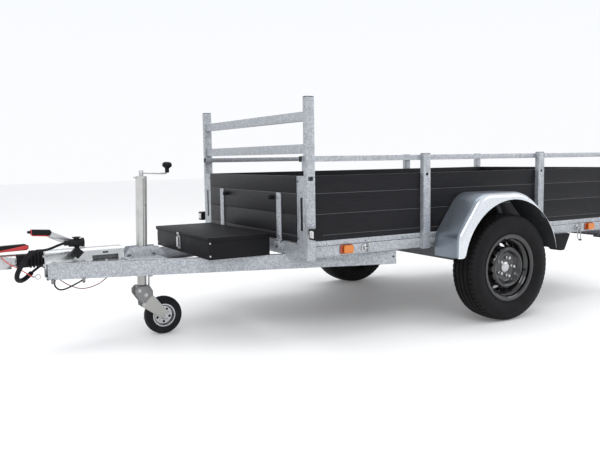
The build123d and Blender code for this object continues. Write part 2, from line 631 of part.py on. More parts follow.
# ---------------------------------------------------------------- axle
BEAM_X, BEAM_Z = AX - 150.0, 387.0
DRUM_Y0, DRUM_Y1 = TRACK_Y - 45.0, TRACK_Y + 28.0
with BuildPart() as axle_beam:
    block(BEAM_X - 45, BEAM_X + 45, -640, 640, BEAM_Z - 45, BEAM_Z + 45)
    block(BEAM_X - 40, BEAM_X + 40, -645, 645, BEAM_Z - 40, BEAM_Z + 40, Mode.SUBTRACT)
    for y in (-622.0, 582.0):
        block(BEAM_X - 60, BEAM_X + 60, y, y + 40, BEAM_Z + 45, CH_Z0)
put(axle_beam, "axle_beam")

with BuildPart() as swing_arms:
    with BuildSketch(side(-642)):
        with BuildLine():
            Polyline(
                (BEAM_X - 42, BEAM_Z + 36), (BEAM_X + 34, BEAM_Z + 36), (AX + 34, TYRE_R + 18),
                (AX + 34, TYRE_R - 20), (AX - 10, TYRE_R - 34), (BEAM_X - 40, BEAM_Z - 36), close=True,
            )
        make_face()
    extrude(amount=34)
    bar_y(AX, TYRE_R, 26, -676, -734)
    bar_y(AX, TYRE_R, 19.95, -676, -TRACK_Y)
    # the brake's back plate
    bar_y(AX, TYRE_R, 118, -727, -731)
    mirror(about=Plane.XZ)
put(swing_arms, "swing_arms")

# ---------------------------------------------------------------- road wheels
BEAD_R, BEAD_HALF = 178.0, 68.0


def wheel_axis(y):
    return Axis((AX, y, TYRE_R), (0, 1, 0))


# (radius, y outwards from the wheel's middle plane) of a steel wheel's section
RIM = (
    (33, 30), (80, 30), (87, 34), (93, 43), (98, 52), (103, 57), (108, 58.5), (114, 56), (120, 48), (127, 37),
    (135, 26), (143, 18), (150, 13), (156, 10), (156, -40), (172, -52), (172, -70), (180, -75), (190, -76),
    (196, -75), (196, -71.5), (178, -69.5), (178, -48), (161, -36), (161, 36), (178, 48), (178, 69.5), (196, 71.5),
    (196, 75), (190, 76), (180, 75), (172, 70), (172, 53), (168, 48), (160, 41), (156, 36), (156, 19), (146, 23),
    (138, 31), (130, 42), (123, 53), (117, 60.5), (112, 63.5), (107, 64.5), (101, 62.5), (95, 57), (90, 48),
    (85, 40), (78, 36), (33, 36),
)
for sign, word in ((-1, "left"), (1, "right")):
    y = sign * TRACK_Y
    with BuildPart() as tyre:
        with BuildSketch(Plane.XY.offset(TYRE_R)):
            with BuildLine():
                pts = lambda r, dy: (AX + r, y + dy)
                Polyline(pts(197, BEAD_HALF + 2), pts(BEAD_R, BEAD_HALF), pts(BEAD_R, -BEAD_HALF), pts(197, -BEAD_HALF - 2))
                ThreePointArc(pts(197, -BEAD_HALF - 2), pts(243, -TYRE_HALF), pts(287, -84))
                ThreePointArc(pts(287, -84), pts(303, -78), pts(310, -64))
                ThreePointArc(pts(310, -64), pts(TYRE_R, 0), pts(310, 64))
                ThreePointArc(pts(310, 64), pts(303, 78), pts(287, 84))
                ThreePointArc(pts(287, 84), pts(243, TYRE_HALF), pts(197, BEAD_HALF + 2))
            make_face()
        revolve(axis=wheel_axis(y), revolution_arc=360)
    put(tyre, f"tyre_{word}")

    with BuildPart() as rim:
        with BuildSketch(Plane.XY.offset(TYRE_R)):
            with BuildLine():
                Polyline(*[(AX + r, y + sign * dy) for r, dy in RIM], close=True)
            make_face()
        revolve(axis=wheel_axis(y), revolution_arc=360)
        # sixteen round windows near the barrel
        for k in range(16):
            a = math.radians(22.5 * k + 11.25)
            bar_y(AX + 133 * math.cos(a), TYRE_R + 133 * math.sin(a), 14, y + sign * 20, y + sign * 70, Mode.SUBTRACT)
        for k in range(5):
            a = math.radians(72 * k)
            bar_y(AX + 56 * math.cos(a), TYRE_R + 56 * math.sin(a), 7, y + sign * 20, y + sign * 70, Mode.SUBTRACT)
    put(rim, f"rim_{word}")

    # the brake drum with its flange, nose and cap
    with BuildPart() as hub:
        with BuildSketch(Plane.XY.offset(TYRE_R)):
            with BuildLine():
                Polyline(*[(AX + r, y + sign * dy) for r, dy in (
                    (0, 4), (0, 44), (16, 43.5), (24, 41.5), (29, 39), (32.8, 36.5), (32.8, 30),
                    (80, 30), (84, 22), (112, 16), (117, 10), (117, -45), (110, -45), (110, 8), (60, 14),
                    (34, 14), (34, -45), (20.02, -45), (20.02, 4),
                )], close=True)
            make_face()
        revolve(axis=wheel_axis(y), revolution_arc=360)
    put(hub, f"hub_{word}")

# ---------------------------------------------------------------- small parts
# Amber side lamps and lashing eyes on the side beams.
with BuildPart() as side_marker_lamps:
    for x in (-1008.0, 972.0):
        with BuildSketch(side(-BED_Y)):
            with Locations((AX + x, 481)):
                RectangleRounded(84, 50, 12)
        extrude(amount=10)
        with BuildSketch(side(-BED_Y - 10)):
            with Locations((AX + x + 6, 481)):
                Circle(21)
        extrude(amount=12, taper=12)
    mirror(about=Plane.XZ)
put(side_marker_lamps, "side_marker_lamps")

with BuildPart() as tie_rings:
    for x in (-885.0, 857.0):
        block(AX + x - 18, AX + x + 18, -BED_Y - 3, -BED_Y, 462, 494)
        bar_y(AX + x - 12, 478, 5, -BED_Y - 3, -BED_Y - 18)
        bar_y(AX + x + 12, 478, 5, -BED_Y - 3, -BED_Y - 18)
        block(AX + x - 17, AX + x + 17, -BED_Y - 25, -BED_Y - 15, 473, 483)
    mirror(about=Plane.XZ)
put(tie_rings, "tie_rings")

# White front lamps on black arms, outboard of the front posts.
with BuildPart() as front_marker_lamps:
    block(BED_F + 15, BED_F + 33, -716, -STAKE_Y1, 566, 602)
    block(BED_F + 3, BED_F + 39, -768, -712, 556, 612)
    block(BED_F - 17, BED_F + 3, -764, -716, 560, 608)
    mirror(about=Plane.XZ)
put(front_marker_lamps, "front_marker_lamps")

with BuildPart() as rear_lamp_bar:
    block(BED_R - 28, BED_R - 10, -644, 644, 388, 450)
    block(BED_R - 35, BED_R - 13, -650, 650, 391, 447, Mode.SUBTRACT)
    block(BED_R - 10, BED_R - 7, -262, 262, 340, 450)
put(rear_lamp_bar, "rear_lamp_bar")

with BuildPart() as rear_lamps:
    with BuildSketch(across(BED_R - 10)):
        with Locations((-560, 411)):
            RectangleRounded(160, 74, 12)
    extrude(amount=30)
    mirror(about=Plane.XZ)
put(rear_lamps, "rear_lamps")

# A rubber wedge under each side, behind the wheel, in its holder.
with BuildPart() as wheel_chocks:
    with BuildSketch(side(-592)):
        with BuildLine():
            Polyline(
                (AX + 560, 450), (AX + 752, 450), (AX + 748, 436), (AX + 700, 342), (AX + 655, 342),
                (AX + 560, 430), close=True,
            )
        make_face()
    extrude(amount=84)
    mirror(about=Plane.XZ)
put(wheel_chocks, "wheel_chocks")
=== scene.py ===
"""Looks for the utility trailer: materials, tyres with tread, cords, lamps, fittings, light and camera."""

import json
import math

import bmesh
import bpy
from mathutils import Matrix, Vector


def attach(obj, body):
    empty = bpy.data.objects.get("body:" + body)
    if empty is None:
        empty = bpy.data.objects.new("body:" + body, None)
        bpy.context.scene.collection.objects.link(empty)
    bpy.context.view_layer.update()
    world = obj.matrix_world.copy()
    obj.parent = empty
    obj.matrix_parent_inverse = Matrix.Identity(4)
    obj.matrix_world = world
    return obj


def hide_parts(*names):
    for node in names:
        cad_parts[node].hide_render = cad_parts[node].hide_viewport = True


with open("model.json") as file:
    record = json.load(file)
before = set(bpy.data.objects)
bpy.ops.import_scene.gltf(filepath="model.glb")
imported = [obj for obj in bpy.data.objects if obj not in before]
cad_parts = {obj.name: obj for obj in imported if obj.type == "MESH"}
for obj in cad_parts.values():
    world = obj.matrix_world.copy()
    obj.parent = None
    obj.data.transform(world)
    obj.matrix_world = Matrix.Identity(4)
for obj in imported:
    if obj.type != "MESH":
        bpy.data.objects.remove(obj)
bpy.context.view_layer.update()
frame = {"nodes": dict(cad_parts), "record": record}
AX = 0.7615  # the road wheels' axis
scene = bpy.context.scene

# ---------------------------------------------------------------- camera
yaw, pitch, roll = 0.5266, -0.0962, -0.0149
fwd = Vector((math.sin(yaw) * math.cos(pitch), math.cos(yaw) * math.cos(pitch), math.sin(pitch)))
right = Vector((math.cos(yaw), -math.sin(yaw), 0))
up = right.cross(fwd)
r2 = math.cos(roll) * right + math.sin(roll) * up
u2 = -math.sin(roll) * right + math.cos(roll) * up
cam_data = bpy.data.cameras.new("camera")
cam = bpy.data.objects.new("camera", cam_data)
scene.collection.objects.link(cam)
cam.matrix_world = Matrix.Translation((-3.0426 + AX, -3.6607, 0.9635)) @ Matrix((r2, u2, -fwd)).transposed().to_4x4()
cam_data.sensor_width = 36
cam_data.lens = 41.12
cam_data.clip_end = 100
scene.camera = cam
scene.view_settings.view_transform = "Standard"


# ---------------------------------------------------------------- materials
def start(name, color, rough, metal=0.0, coat=0.0):
    m = bpy.data.materials.new(name)
    m.use_nodes = True
    b = m.node_tree.nodes["Principled BSDF"]
    b.inputs["Base Color"].default_value = (*color, 1)
    b.inputs["Roughness"].default_value = rough
    b.inputs["Metallic"].default_value = metal
    b.inputs["Coat Weight"].default_value = coat
    b.inputs["Coat Roughness"].default_value = 0.08
    if metal < 0.2 and max(color) < 0.06:
        b.inputs["Specular IOR Level"].default_value = 0.6 if coat else 0.14
    return m, m.node_tree.nodes, m.node_tree.links, b


def coords(n, l, scale=(1, 1, 1)):
    tc = n.new("ShaderNodeTexCoord")
    mp = n.new("ShaderNodeMapping")
    mp.inputs["Scale"].default_value = scale
    l.new(tc.outputs["Object"], mp.inputs["Vector"])
    return mp.outputs["Vector"]


def noise(n, l, vec, scale, detail=3.0, rough=0.55):
    t = n.new("ShaderNodeTexNoise")
    t.inputs["Scale"].default_value = scale
    t.inputs["Detail"].default_value = detail
    t.inputs["Roughness"].default_value = rough
    l.new(vec, t.inputs["Vector"])
    return t.outputs["Fac"]


def ramp(n, l, fac, stops):
    r = n.new("ShaderNodeValToRGB")
    e = r.color_ramp.elements
    e[0].position, e[0].color = stops[0][0], (*stops[0][1], 1)
    e[1].position, e[1].color = stops[-1][0], (*stops[-1][1], 1)
    for p, c in stops[1:-1]:
        e.new(p).color = (*c, 1)
    l.new(fac, r.inputs["Fac"])
    return r.outputs["Color"]


def span(n, l, fac, lo, hi):
    r = n.new("ShaderNodeMapRange")
    r.inputs["To Min"].default_value = lo
    r.inputs["To Max"].default_value = hi
    l.new(fac, r.inputs["Value"])
    return r.outputs["Result"]


def bump(n, l, b, height, strength, distance):
    k = n.new("ShaderNodeBump")
    k.inputs["Strength"].default_value = strength
    k.inputs["Distance"].default_value = distance
    l.new(height, k.inputs["Height"])
    l.new(k.outputs["Normal"], b.inputs["Normal"])
    return k


def mix(n, l, fac, a, b_, mode="MIX"):
    m = n.new("ShaderNodeMix")
    m.data_type = "RGBA"
    m.blend_type = mode
    if isinstance(fac, float):
        m.inputs[0].default_value = fac
    else:
        l.new(fac, m.inputs[0])
    for sock, v in ((m.inputs[6], a), (m.inputs[7], b_)):
        if isinstance(v, tuple):
            sock.default_value = (*v, 1)
        else:
            l.new(v, sock)
    return m.outputs[2]


def galvanised(name, lo, hi, rough, metal, cell=70.0):
    """Hot-dip zinc: a spangle of flat crystals, cloudy patches and a dull sheen."""
    m, n, l, b = start(name, lo, rough, metal)
    v = coords(n, l)
    cells = n.new("ShaderNodeTexVoronoi")
    cells.inputs["Scale"].default_value = cell
    l.new(v, cells.inputs["Vector"])
    one = n.new("ShaderNodeSeparateColor")
    l.new(cells.outputs["Color"], one.inputs["Color"])
    patch = noise(n, l, v, 30.0, 4.0)
    c1 = ramp(n, l, one.outputs[0], [(0.05, lo), (0.95, hi)])
    c2 = ramp(n, l, patch, [(0.35, (0.86, 0.87, 0.89)), (0.68, (1.0, 1.0, 1.0))])
    l.new(mix(n, l, 1.0, c1, c2, "MULTIPLY"), b.inputs["Base Color"])
    l.new(span(n, l, one.outputs[1], rough - 0.06, rough + 0.12), b.inputs["Roughness"])
    bump(n, l, b, noise(n, l, v, 240.0, 2.0), 0.12, 0.0006)
    return m


def plain(name, color, rough, metal=0.0, coat=0.0, grain=300.0, depth=0.15, vary=0.12):
    """An even finish with a fine grain, slight clouding and an uneven sheen."""
    m, n, l, b = start(name, color, rough, metal, coat)
    v = coords(n, l)
    cloud = noise(n, l, v, 11.0, 4.0)
    lo = tuple(c * (1 - vary) for c in color)
    hi = tuple(min(1, c * (1 + vary)) for c in color)
    l.new(ramp(n, l, cloud, [(0.3, lo), (0.7, hi)]), b.inputs["Base Color"])
    l.new(span(n, l, noise(n, l, v, 26.0), max(0.03, rough - 0.08), rough + 0.08), b.inputs["Roughness"])
    bump(n, l, b, noise(n, l, v, grain, 2.0), depth, 0.0005)
    return m


def brushed(name, color, rough, axis=(1, 1, 14)):
    m, n, l, b = start(name, color, rough, 0.92)
    v = coords(n, l, axis)
    s = noise(n, l, v, 90.0, 3.0)
    lo = tuple(c * 0.82 for c in color)
    l.new(ramp(n, l, s, [(0.3, lo), (0.7, color)]), b.inputs["Base Color"])
    l.new(span(n, l, s, rough - 0.08, rough + 0.12), b.inputs["Roughness"])
    bump(n, l, b, s, 0.06, 0.0004)
    return m


def board():
    """Anthracite faced board: fine grain along it; the pale lines in its grooves are separate strips of painted
    highlight.
    """
    m, n, l, b = start("anthracite_board", (0.014, 0.014, 0.016), 0.5)
    v = coords(n, l, (1, 1, 26))
    grain = noise(n, l, v, 9.0, 5.0)
    body = ramp(n, l, grain, [(0.3, (0.009, 0.009, 0.011)), (0.7, (0.016, 0.016, 0.019))])
    l.new(body, b.inputs["Base Color"])
    l.new(span(n, l, noise(n, l, coords(n, l), 30.0), 0.36, 0.5), b.inputs["Roughness"])
    bump(n, l, b, noise(n, l, coords(n, l), 420.0, 2.0), 0.18, 0.0004)
    return m


def ply():
    m, n, l, b = start("floor_ply", (0.05, 0.03, 0.02), 0.5)
    v = coords(n, l)
    w = n.new("ShaderNodeTexVoronoi")
    w.feature = "DISTANCE_TO_EDGE"
    w.inputs["Scale"].default_value = 160.0
    l.new(v, w.inputs["Vector"])
    l.new(ramp(n, l, noise(n, l, v, 5.0, 5.0), [(0.3, (0.022, 0.014, 0.011)), (0.7, (0.045, 0.029, 0.021))]), b.inputs["Base Color"])
    bump(n, l, b, w.outputs["Distance"], 0.5, 0.0008)
    return m


def rubber(name, color=(0.008, 0.008, 0.009), rough=0.62):
    m, n, l, b = start(name, color, rough)
    v = coords(n, l)
    dust = noise(n, l, v, 16.0, 5.0)
    l.new(ramp(n, l, dust, [(0.35, color), (0.8, tuple(c * 2.2 for c in color))]), b.inputs["Base Color"])
    l.new(span(n, l, dust, rough - 0.1, rough + 0.15), b.inputs["Roughness"])
    bump(n, l, b, noise(n, l, v, 500.0, 2.0), 0.25, 0.0004)
    return m


def lens(name, color, ribs=420.0):
    m, n, l, b = start(name, color, 0.14, 0.0, 0.6)
    b.inputs["Transmission Weight"].default_value = 0.15
    w = n.new("ShaderNodeTexWave")
    w.inputs["Scale"].default_value = ribs / 6.0
    w.bands_direction = "Z"
    l.new(coords(n, l), w.inputs["Vector"])
    l.new(ramp(n, l, w.outputs["Fac"], [(0.0, tuple(c * 0.75 for c in color)), (1.0, color)]), b.inputs["Base Color"])
    bump(n, l, b, w.outputs["Fac"], 0.35, 0.0008)
    return m


M = {
    "galvanised": galvanised("galvanised", (0.30, 0.315, 0.34), (0.56, 0.58, 0.61), 0.40, 0.5, 230.0),
    # A darker, rougher copy of the galvanised finish: its darker colour is painted shade, for the axle, arms and stays
    # under the bed and for the insides of openings.
    "galvanised_shaded": galvanised("galvanised_shaded", (0.10, 0.105, 0.11), (0.20, 0.21, 0.22), 0.55, 0.4, 190.0),
    "mudguard_sheet": plain("mudguard_sheet", (0.25, 0.285, 0.33), 0.30, 0.75, vary=0.05, depth=0.006),
    # A much lighter copy of the mudguard sheet for its rolled edge: painted highlight along the bead.
    "mudguard_lip_highlight": plain("mudguard_lip_highlight", (0.68, 0.71, 0.75), 0.26, 0.7, vary=0.03, depth=0.004),
    # A dark grey for the inner side of the guards: painted shade of the hollow over the tyres.
    "mudguard_inside_shade": plain("mudguard_inside_shade", (0.035, 0.036, 0.038), 0.7, depth=0.4),
    "bright_zinc": brushed("bright_zinc", (0.56, 0.57, 0.58), 0.26),
    "cream_zinc": plain("cream_zinc", (0.56, 0.56, 0.545), 0.30, 0.5, depth=0.02),
    "satin_steel": brushed("satin_steel", (0.42, 0.42, 0.40), 0.30),
    "fork_steel": brushed("fork_steel", (0.26, 0.26, 0.26), 0.40),
    "drum_iron": plain("drum_iron", (0.012, 0.012, 0.013), 0.55, 0.3, depth=0.4),
    "rim_black": plain("rim_black", (0.004, 0.004, 0.005), 0.16, 0.0, 0.35, depth=0.02),
    "black_paint": plain("black_paint", (0.008, 0.008, 0.009), 0.55, depth=0.3),
    "black_plastic": plain("black_plastic", (0.009, 0.009, 0.010), 0.42, depth=0.3),
    "anthracite_board": board(),
    "floor_ply": ply(),
    "black_rubber": rubber("black_rubber"),
    "road_tyre": rubber("road_tyre", (0.0055, 0.0055, 0.006), 0.6),
    "cable_black": rubber("cable_black", (0.007, 0.007, 0.008), 0.5),
    "cable_red": plain("cable_red", (0.55, 0.05, 0.045), 0.35, coat=0.3),
    "wire_brown": plain("wire_brown", (0.16, 0.035, 0.025), 0.4),
    "white_lens": lens("white_lens", (0.80, 0.80, 0.78)),
    "amber_lens": lens("amber_lens", (0.85, 0.24, 0.015)),
    # A darker amber for the side lamps' bases: painted shade on the sides of the lamps.
    "amber_base_shaded": lens("amber_base_shaded", (0.40, 0.05, 0.008), 200.0),
    "red_lens": lens("red_lens", (0.45, 0.015, 0.015)),
    "red_plastic": plain("red_plastic", (0.50, 0.018, 0.018), 0.35, coat=0.3),
    # Pale strips for the board grooves: painted highlight along the groove edges.
    "board_groove_highlight": plain("board_groove_highlight", (0.07, 0.072, 0.076), 0.4, 0.2),
    "dark_line": plain("dark_line", (0.004, 0.004, 0.004), 0.6),
}


# ---------------------------------------------------------------- mesh helpers
class Geo:
    """Collects vertices and faces, in metres, then makes one piece of them."""

    def __init__(self):
        self.v, self.f = [], []

    def add(self, verts, faces):
        k = len(self.v)
        self.v += [tuple(p) for p in verts]
        self.f += [tuple(i + k for i in f) for f in faces]
        return self

    def lathe(self, profile, origin, axis, segs=48, closed=False):
        """profile: (radius, distance along axis). A radius of 0 makes a pole."""
        a = Vector(axis).normalized()
        s = Vector((0, 0, 1)) if abs(a.z) < 0.9 else Vector((1, 0, 0))
        e1 = a.cross(s).normalized()
        e2 = a.cross(e1)
        o = Vector(origin)
        rows, verts, faces = [], [], []
        for r, t in profile:
            if r < 1e-9:
                rows.append([len(verts)] * segs)
                verts.append(o + a * t)
            else:
                rows.append(list(range(len(verts), len(verts) + segs)))
                for k in range(segs):
                    w = 2 * math.pi * k / segs
                    verts.append(o + a * t + (e1 * math.cos(w) + e2 * math.sin(w)) * r)
        pairs = list(zip(rows, rows[1:])) + ([(rows[-1], rows[0])] if closed else [])
        for p, q in pairs:
            for k in range(segs):
                j = (k + 1) % segs
                f = [p[k], q[k], q[j], p[j]]
                f = [x for i, x in enumerate(f) if x not in f[:i]]
                if len(f) > 2:
                    faces.append(f)
        return self.add(verts, faces)

    def prism(self, outline, origin, axis, depth):
        """outline: points in metres, in the plane square to axis ('x': y,z  'y': x,z  'z': x,y)."""
        o = Vector(origin)

        def put(p, t):
            return {"x": Vector((t, p[0], p[1])), "y": Vector((p[0], t, p[1])), "z": Vector((p[0], p[1], t))}[axis] + o

        k = len(outline)
        verts = [put(p, 0) for p in outline] + [put(p, depth) for p in outline]
        faces = [tuple(range(k)), tuple(range(2 * k - 1, k - 1, -1))]
        faces += [(i, (i + 1) % k, (i + 1) % k + k, i + k) for i in range(k)]
        return self.add(verts, faces)

    def box(self, a, b):
        return self.prism([(a[0], a[1]), (b[0], a[1]), (b[0], b[1]), (a[0], b[1])], (0, 0, a[2]), "z", b[2] - a[2])

    def bolt(self, p, axis, r, h, washer=True):
        a = Vector(axis).normalized()
        base = Vector(p)
        if washer:
            self.lathe([(0, 0), (r * 1.5, 0), (r * 1.5, h * 0.22), (0, h * 0.22)], base, a, 20)
            base = base + a * h * 0.2
        self.lathe([(0, 0), (r, 0), (r, h * 0.8), (r * 0.86, h), (0, h)], base, a, 6)
        return self

    def rivet(self, p, axis, r, h):
        return self.lathe([(r, 0), (r * 0.95, h * 0.4), (r * 0.7, h * 0.8), (r * 0.3, h), (0, h)], p, axis, 14)

    def sweep(self, path, r, segs=12, caps=True):
        """A round bar along a path of points."""
        pts = [Vector(p) for p in path]
        verts, faces, n = [], [], len(pts)
        side = None
        for i, p in enumerate(pts):
            d = (pts[min(i + 1, n - 1)] - pts[max(i - 1, 0)]).normalized()
            if side is None:
                side = d.cross(Vector((0, 0, 1)) if abs(d.z) < 0.9 else Vector((1, 0, 0))).normalized()
            side = (side - d * side.dot(d)).normalized()
            other = d.cross(side)
            for k in range(segs):
                w = 2 * math.pi * k / segs
                verts.append(p + (side * math.cos(w) + other * math.sin(w)) * r)
        for i in range(n - 1):
            for k in range(segs):
                j = (k + 1) % segs
                faces.append((i * segs + k, i * segs + j, (i + 1) * segs + j, (i + 1) * segs + k))
        if caps:
            faces.append(tuple(range(segs))[::-1])
            faces.append(tuple(range((n - 1) * segs, n * segs)))
        return self.add(verts, faces)

    def make(self, name, material, body, bevel=0.0, segments=2, angle=35.0, replaces=()):
        me = bpy.data.meshes.new(name)
        me.from_pydata(self.v, [], self.f)
        me.update()
        bm = bmesh.new()
        bm.from_mesh(me)
        bmesh.ops.recalc_face_normals(bm, faces=bm.faces)
        bm.to_mesh(me)
        bm.free()
        me.materials.append(M[material])
        o = bpy.data.objects.new(name, me)
        scene.collection.objects.link(o)
        finish_shading(o, bevel, segments, angle)
        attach(o, body)
        if replaces:
            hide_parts(*replaces)
        return o


def finish_shading(o, bevel, segments=2, angle=35.0):
    me = o.data
    for p in me.polygons:
        p.use_smooth = True
    if bevel:
        b = o.modifiers.new("bevel", "BEVEL")
        b.width = bevel
        b.segments = segments
        b.limit_method = "ANGLE"
        b.angle_limit = math.radians(angle)
        b.harden_normals = True
        b.use_clamp_overlap = True
    else:
        me.set_sharp_from_angle(angle=math.radians(angle))


def soften(node, width, material=None, segments=2):
    """The CAD node's own shape with its edges broken."""
    src = frame["nodes"][node]
    me = src.data.copy()
    me.name = node + "_edged"
    bm = bmesh.new()
    bm.from_mesh(me)
    bmesh.ops.remove_doubles(bm, verts=bm.verts, dist=2e-6)
    bmesh.ops.dissolve_limit(bm, angle_limit=math.radians(0.8), verts=bm.verts, edges=bm.edges)
    bmesh.ops.recalc_face_normals(bm, faces=bm.faces)
    bm.to_mesh(me)
    bm.free()
    if me.has_custom_normals:
        me.normals_split_custom_set([(0, 0, 0)] * len(me.loops))
    slot = SLOTS[node]
    me.materials.clear()
    me.materials.append(M[material or slot])
    o = bpy.data.objects.new(node + "_edged", me)
    scene.collection.objects.link(o)
    finish_shading(o, width, segments)
    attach(o, BODY[node])
    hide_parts(node)
    return o


record = frame["record"]
SLOTS = {s["node"]: s["material_slot"] for s in record["subparts"]}
BODY = {n: b for b, ns in record["behaviour"]["bodies"].items() for n in ns}
for node, o in frame["nodes"].items():
    o.data.materials.clear()
    o.data.materials.append(M[SLOTS[node]])

# ---------------------------------------------------------------- cords
ROUTES = {
    "lighting_cable": (0.013, 0.506, "cable_black", "limp", "object", [
        (-2345, -86, 556), (-2374, -86, 549), (-2404, -84, 536), (-2440, -81, 527), (-2478, -79, 529),
        (-2508, -77, 517), (-2532, -75, 487), (-2553, -73, 454), (-2571, -67, 420), (-2572, -49, 390),
        (-2554, -20, 374), (-2526, 6, 378), (-2500, 24, 396), (-2472, 35, 417), (-2438, 41, 438)]),
    "breakaway_cable": (0.005, 0.193, "cable_red", "limp", "fitting", [
        (-2634, -24, 500), (-2632, -40, 498), (-2624, -51, 488), (-2610, -56, 474), (-2592, -58, 461),
        (-2572, -57, 449), (-2553, -54, 436), (-2534, -51, 422), (-2515, -48, 407), (-2497, -44, 393)]),
    "brake_cable": (0.008, 0.215, "cable_black", "limp", "object", [
        (-2388, -40, 371), (-2395, -42, 350), (-2389, -45, 328), (-2370, -49, 313), (-2343, -54, 316),
        (-2317, -60, 328), (-2290, -66, 341), (-2263, -74, 356), (-2240, -80, 371)]),
    "control_wire": (0.005, 0.280, "wire_brown", "limp", "object", [
        (-2372, -31, 371), (-2346, -35, 348), (-2310, -45, 326), (-2272, -60, 311), (-2232, -76, 314),
        (-2192, -93, 329), (-2160, -106, 350), (-2140, -114, 371)]),
}


def mm(p):
    return Vector((AX + p[0] / 1000, p[1] / 1000, p[2] / 1000))


def sleeve(route, first, last):
    """A sleeve that lies on a cord's own line, between two of its points."""
    pts = [mm(p) for p in route]
    path = []
    for k in range(first, last):
        a, b, c = (pts[k - 1] + pts[k]) / 2, pts[k], (pts[k] + pts[k + 1]) / 2
        for t in range(8):
            w = t / 8
            path.append(a * (1 - w) ** 2 + b * 2 * w * (1 - w) + c * w * w)
    g = Geo()
    g.sweep(path, 0.0122, 20)
    return g.make("lighting_cable_sleeve", "cable_black", "chassis")


for name, (dia, length, material, stiff, end, route) in ROUTES.items():
    cu = bpy.data.curves.new(name + "_cord", "CURVE")
    cu.dimensions = "3D"
    sp = cu.splines.new("NURBS")
    sp.points.add(len(route) - 1)
    for k, p in enumerate(route):
        sp.points[k].co = (*mm(p), 1)
    sp.order_u = 3
    sp.use_endpoint_u = True
    sp.resolution_u = 10
    cu.bevel_depth = dia / 2
    cu.bevel_resolution = 4
    cu.use_fill_caps = True
    cu.materials.append(M[material])
    o = bpy.data.objects.new(name + "_cord", cu)
    scene.collection.objects.link(o)
    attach(o, "chassis")
    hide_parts(name)
    extra = [frame["nodes"]["breakaway_clip"]] if name == "breakaway_cable" else []
    if name == "lighting_cable":
        extra = [sleeve(route, 5, 13)]

# ---------------------------------------------------------------- CAD shapes with broken edges
for node, w in (
    ("drawbar_rails", 0.0022), ("chassis_side_beams", 0.002), ("cross_members", 0.002), ("headframe_posts", 0.003),
    ("headframe_crossbars", 0.002), ("side_stakes", 0.003), ("top_rails", 0.002), ("sill_strips", 0.0015),
    ("front_corner_plates", 0.0015), ("front_board_straps", 0.001), ("board_hinge_brackets", 0.0008),
    ("storage_box", 0.003), ("storage_box_lid", 0.0015), ("side_board_left", 0.0008), ("side_board_right", 0.0008),
    ("front_board", 0.0008), ("tailgate", 0.0008), ("jockey_bracket", 0.0012), ("jockey_fork", 0.0012),
    ("coupling_head", 0.004), ("coupling_handle", 0.004), ("handbrake_lever", 0.0025), ("handbrake_grip", 0.004),
    ("overrun_housing", 0.002), ("plug_holder", 0.004), ("trailer_plug", 0.001), ("rear_lamp_bar", 0.0008),
    ("axle_beam", 0.003), ("swing_arms", 0.003), ("mudguard_stays", 0.0008), ("wheel_chocks", 0.005),
    ("tailgate_straps", 0.001), ("coupling_shaft", 0.002),
):
    # the axle, swing arms and mudguard stays take the darker galvanised copy: painted shade under the bed
    soften(node, w, {"axle_beam": "galvanised_shaded", "swing_arms": "galvanised_shaded", "mudguard_stays": "galvanised_shaded", "jockey_fork": "fork_steel"}.get(node))


# ---------------------------------------------------------------- tyres
def arc3(p, q, r, n):
    """n+1 points of the circle through p, q and r."""
    ax, ay, bx, by, cx, cy = *p, *q, *r
    d = 2 * (ax * (by - cy) + bx * (cy - ay) + cx * (ay - by))
    ux = ((ax**2 + ay**2) * (by - cy) + (bx**2 + by**2) * (cy - ay) + (cx**2 + cy**2) * (ay - by)) / d
    uy = ((ax**2 + ay**2) * (cx - bx) + (bx**2 + by**2) * (ax - cx) + (cx**2 + cy**2) * (bx - ax)) / d
    rad = math.hypot(ax - ux, ay - uy)
    t0, t1, t2 = (math.atan2(y - uy, x - ux) for x, y in (p, q, r))
    while t1 - t0 > math.pi: t1 -= 2 * math.pi
    while t1 - t0 < -math.pi: t1 += 2 * math.pi
    while t2 - t1 > math.pi: t2 -= 2 * math.pi
    while t2 - t1 < -math.pi: t2 += 2 * math.pi
    return [(ux + rad * math.cos(t0 + (t2 - t0) * k / n), uy + rad * math.sin(t0 + (t2 - t0) * k / n)) for k in range(n + 1)]


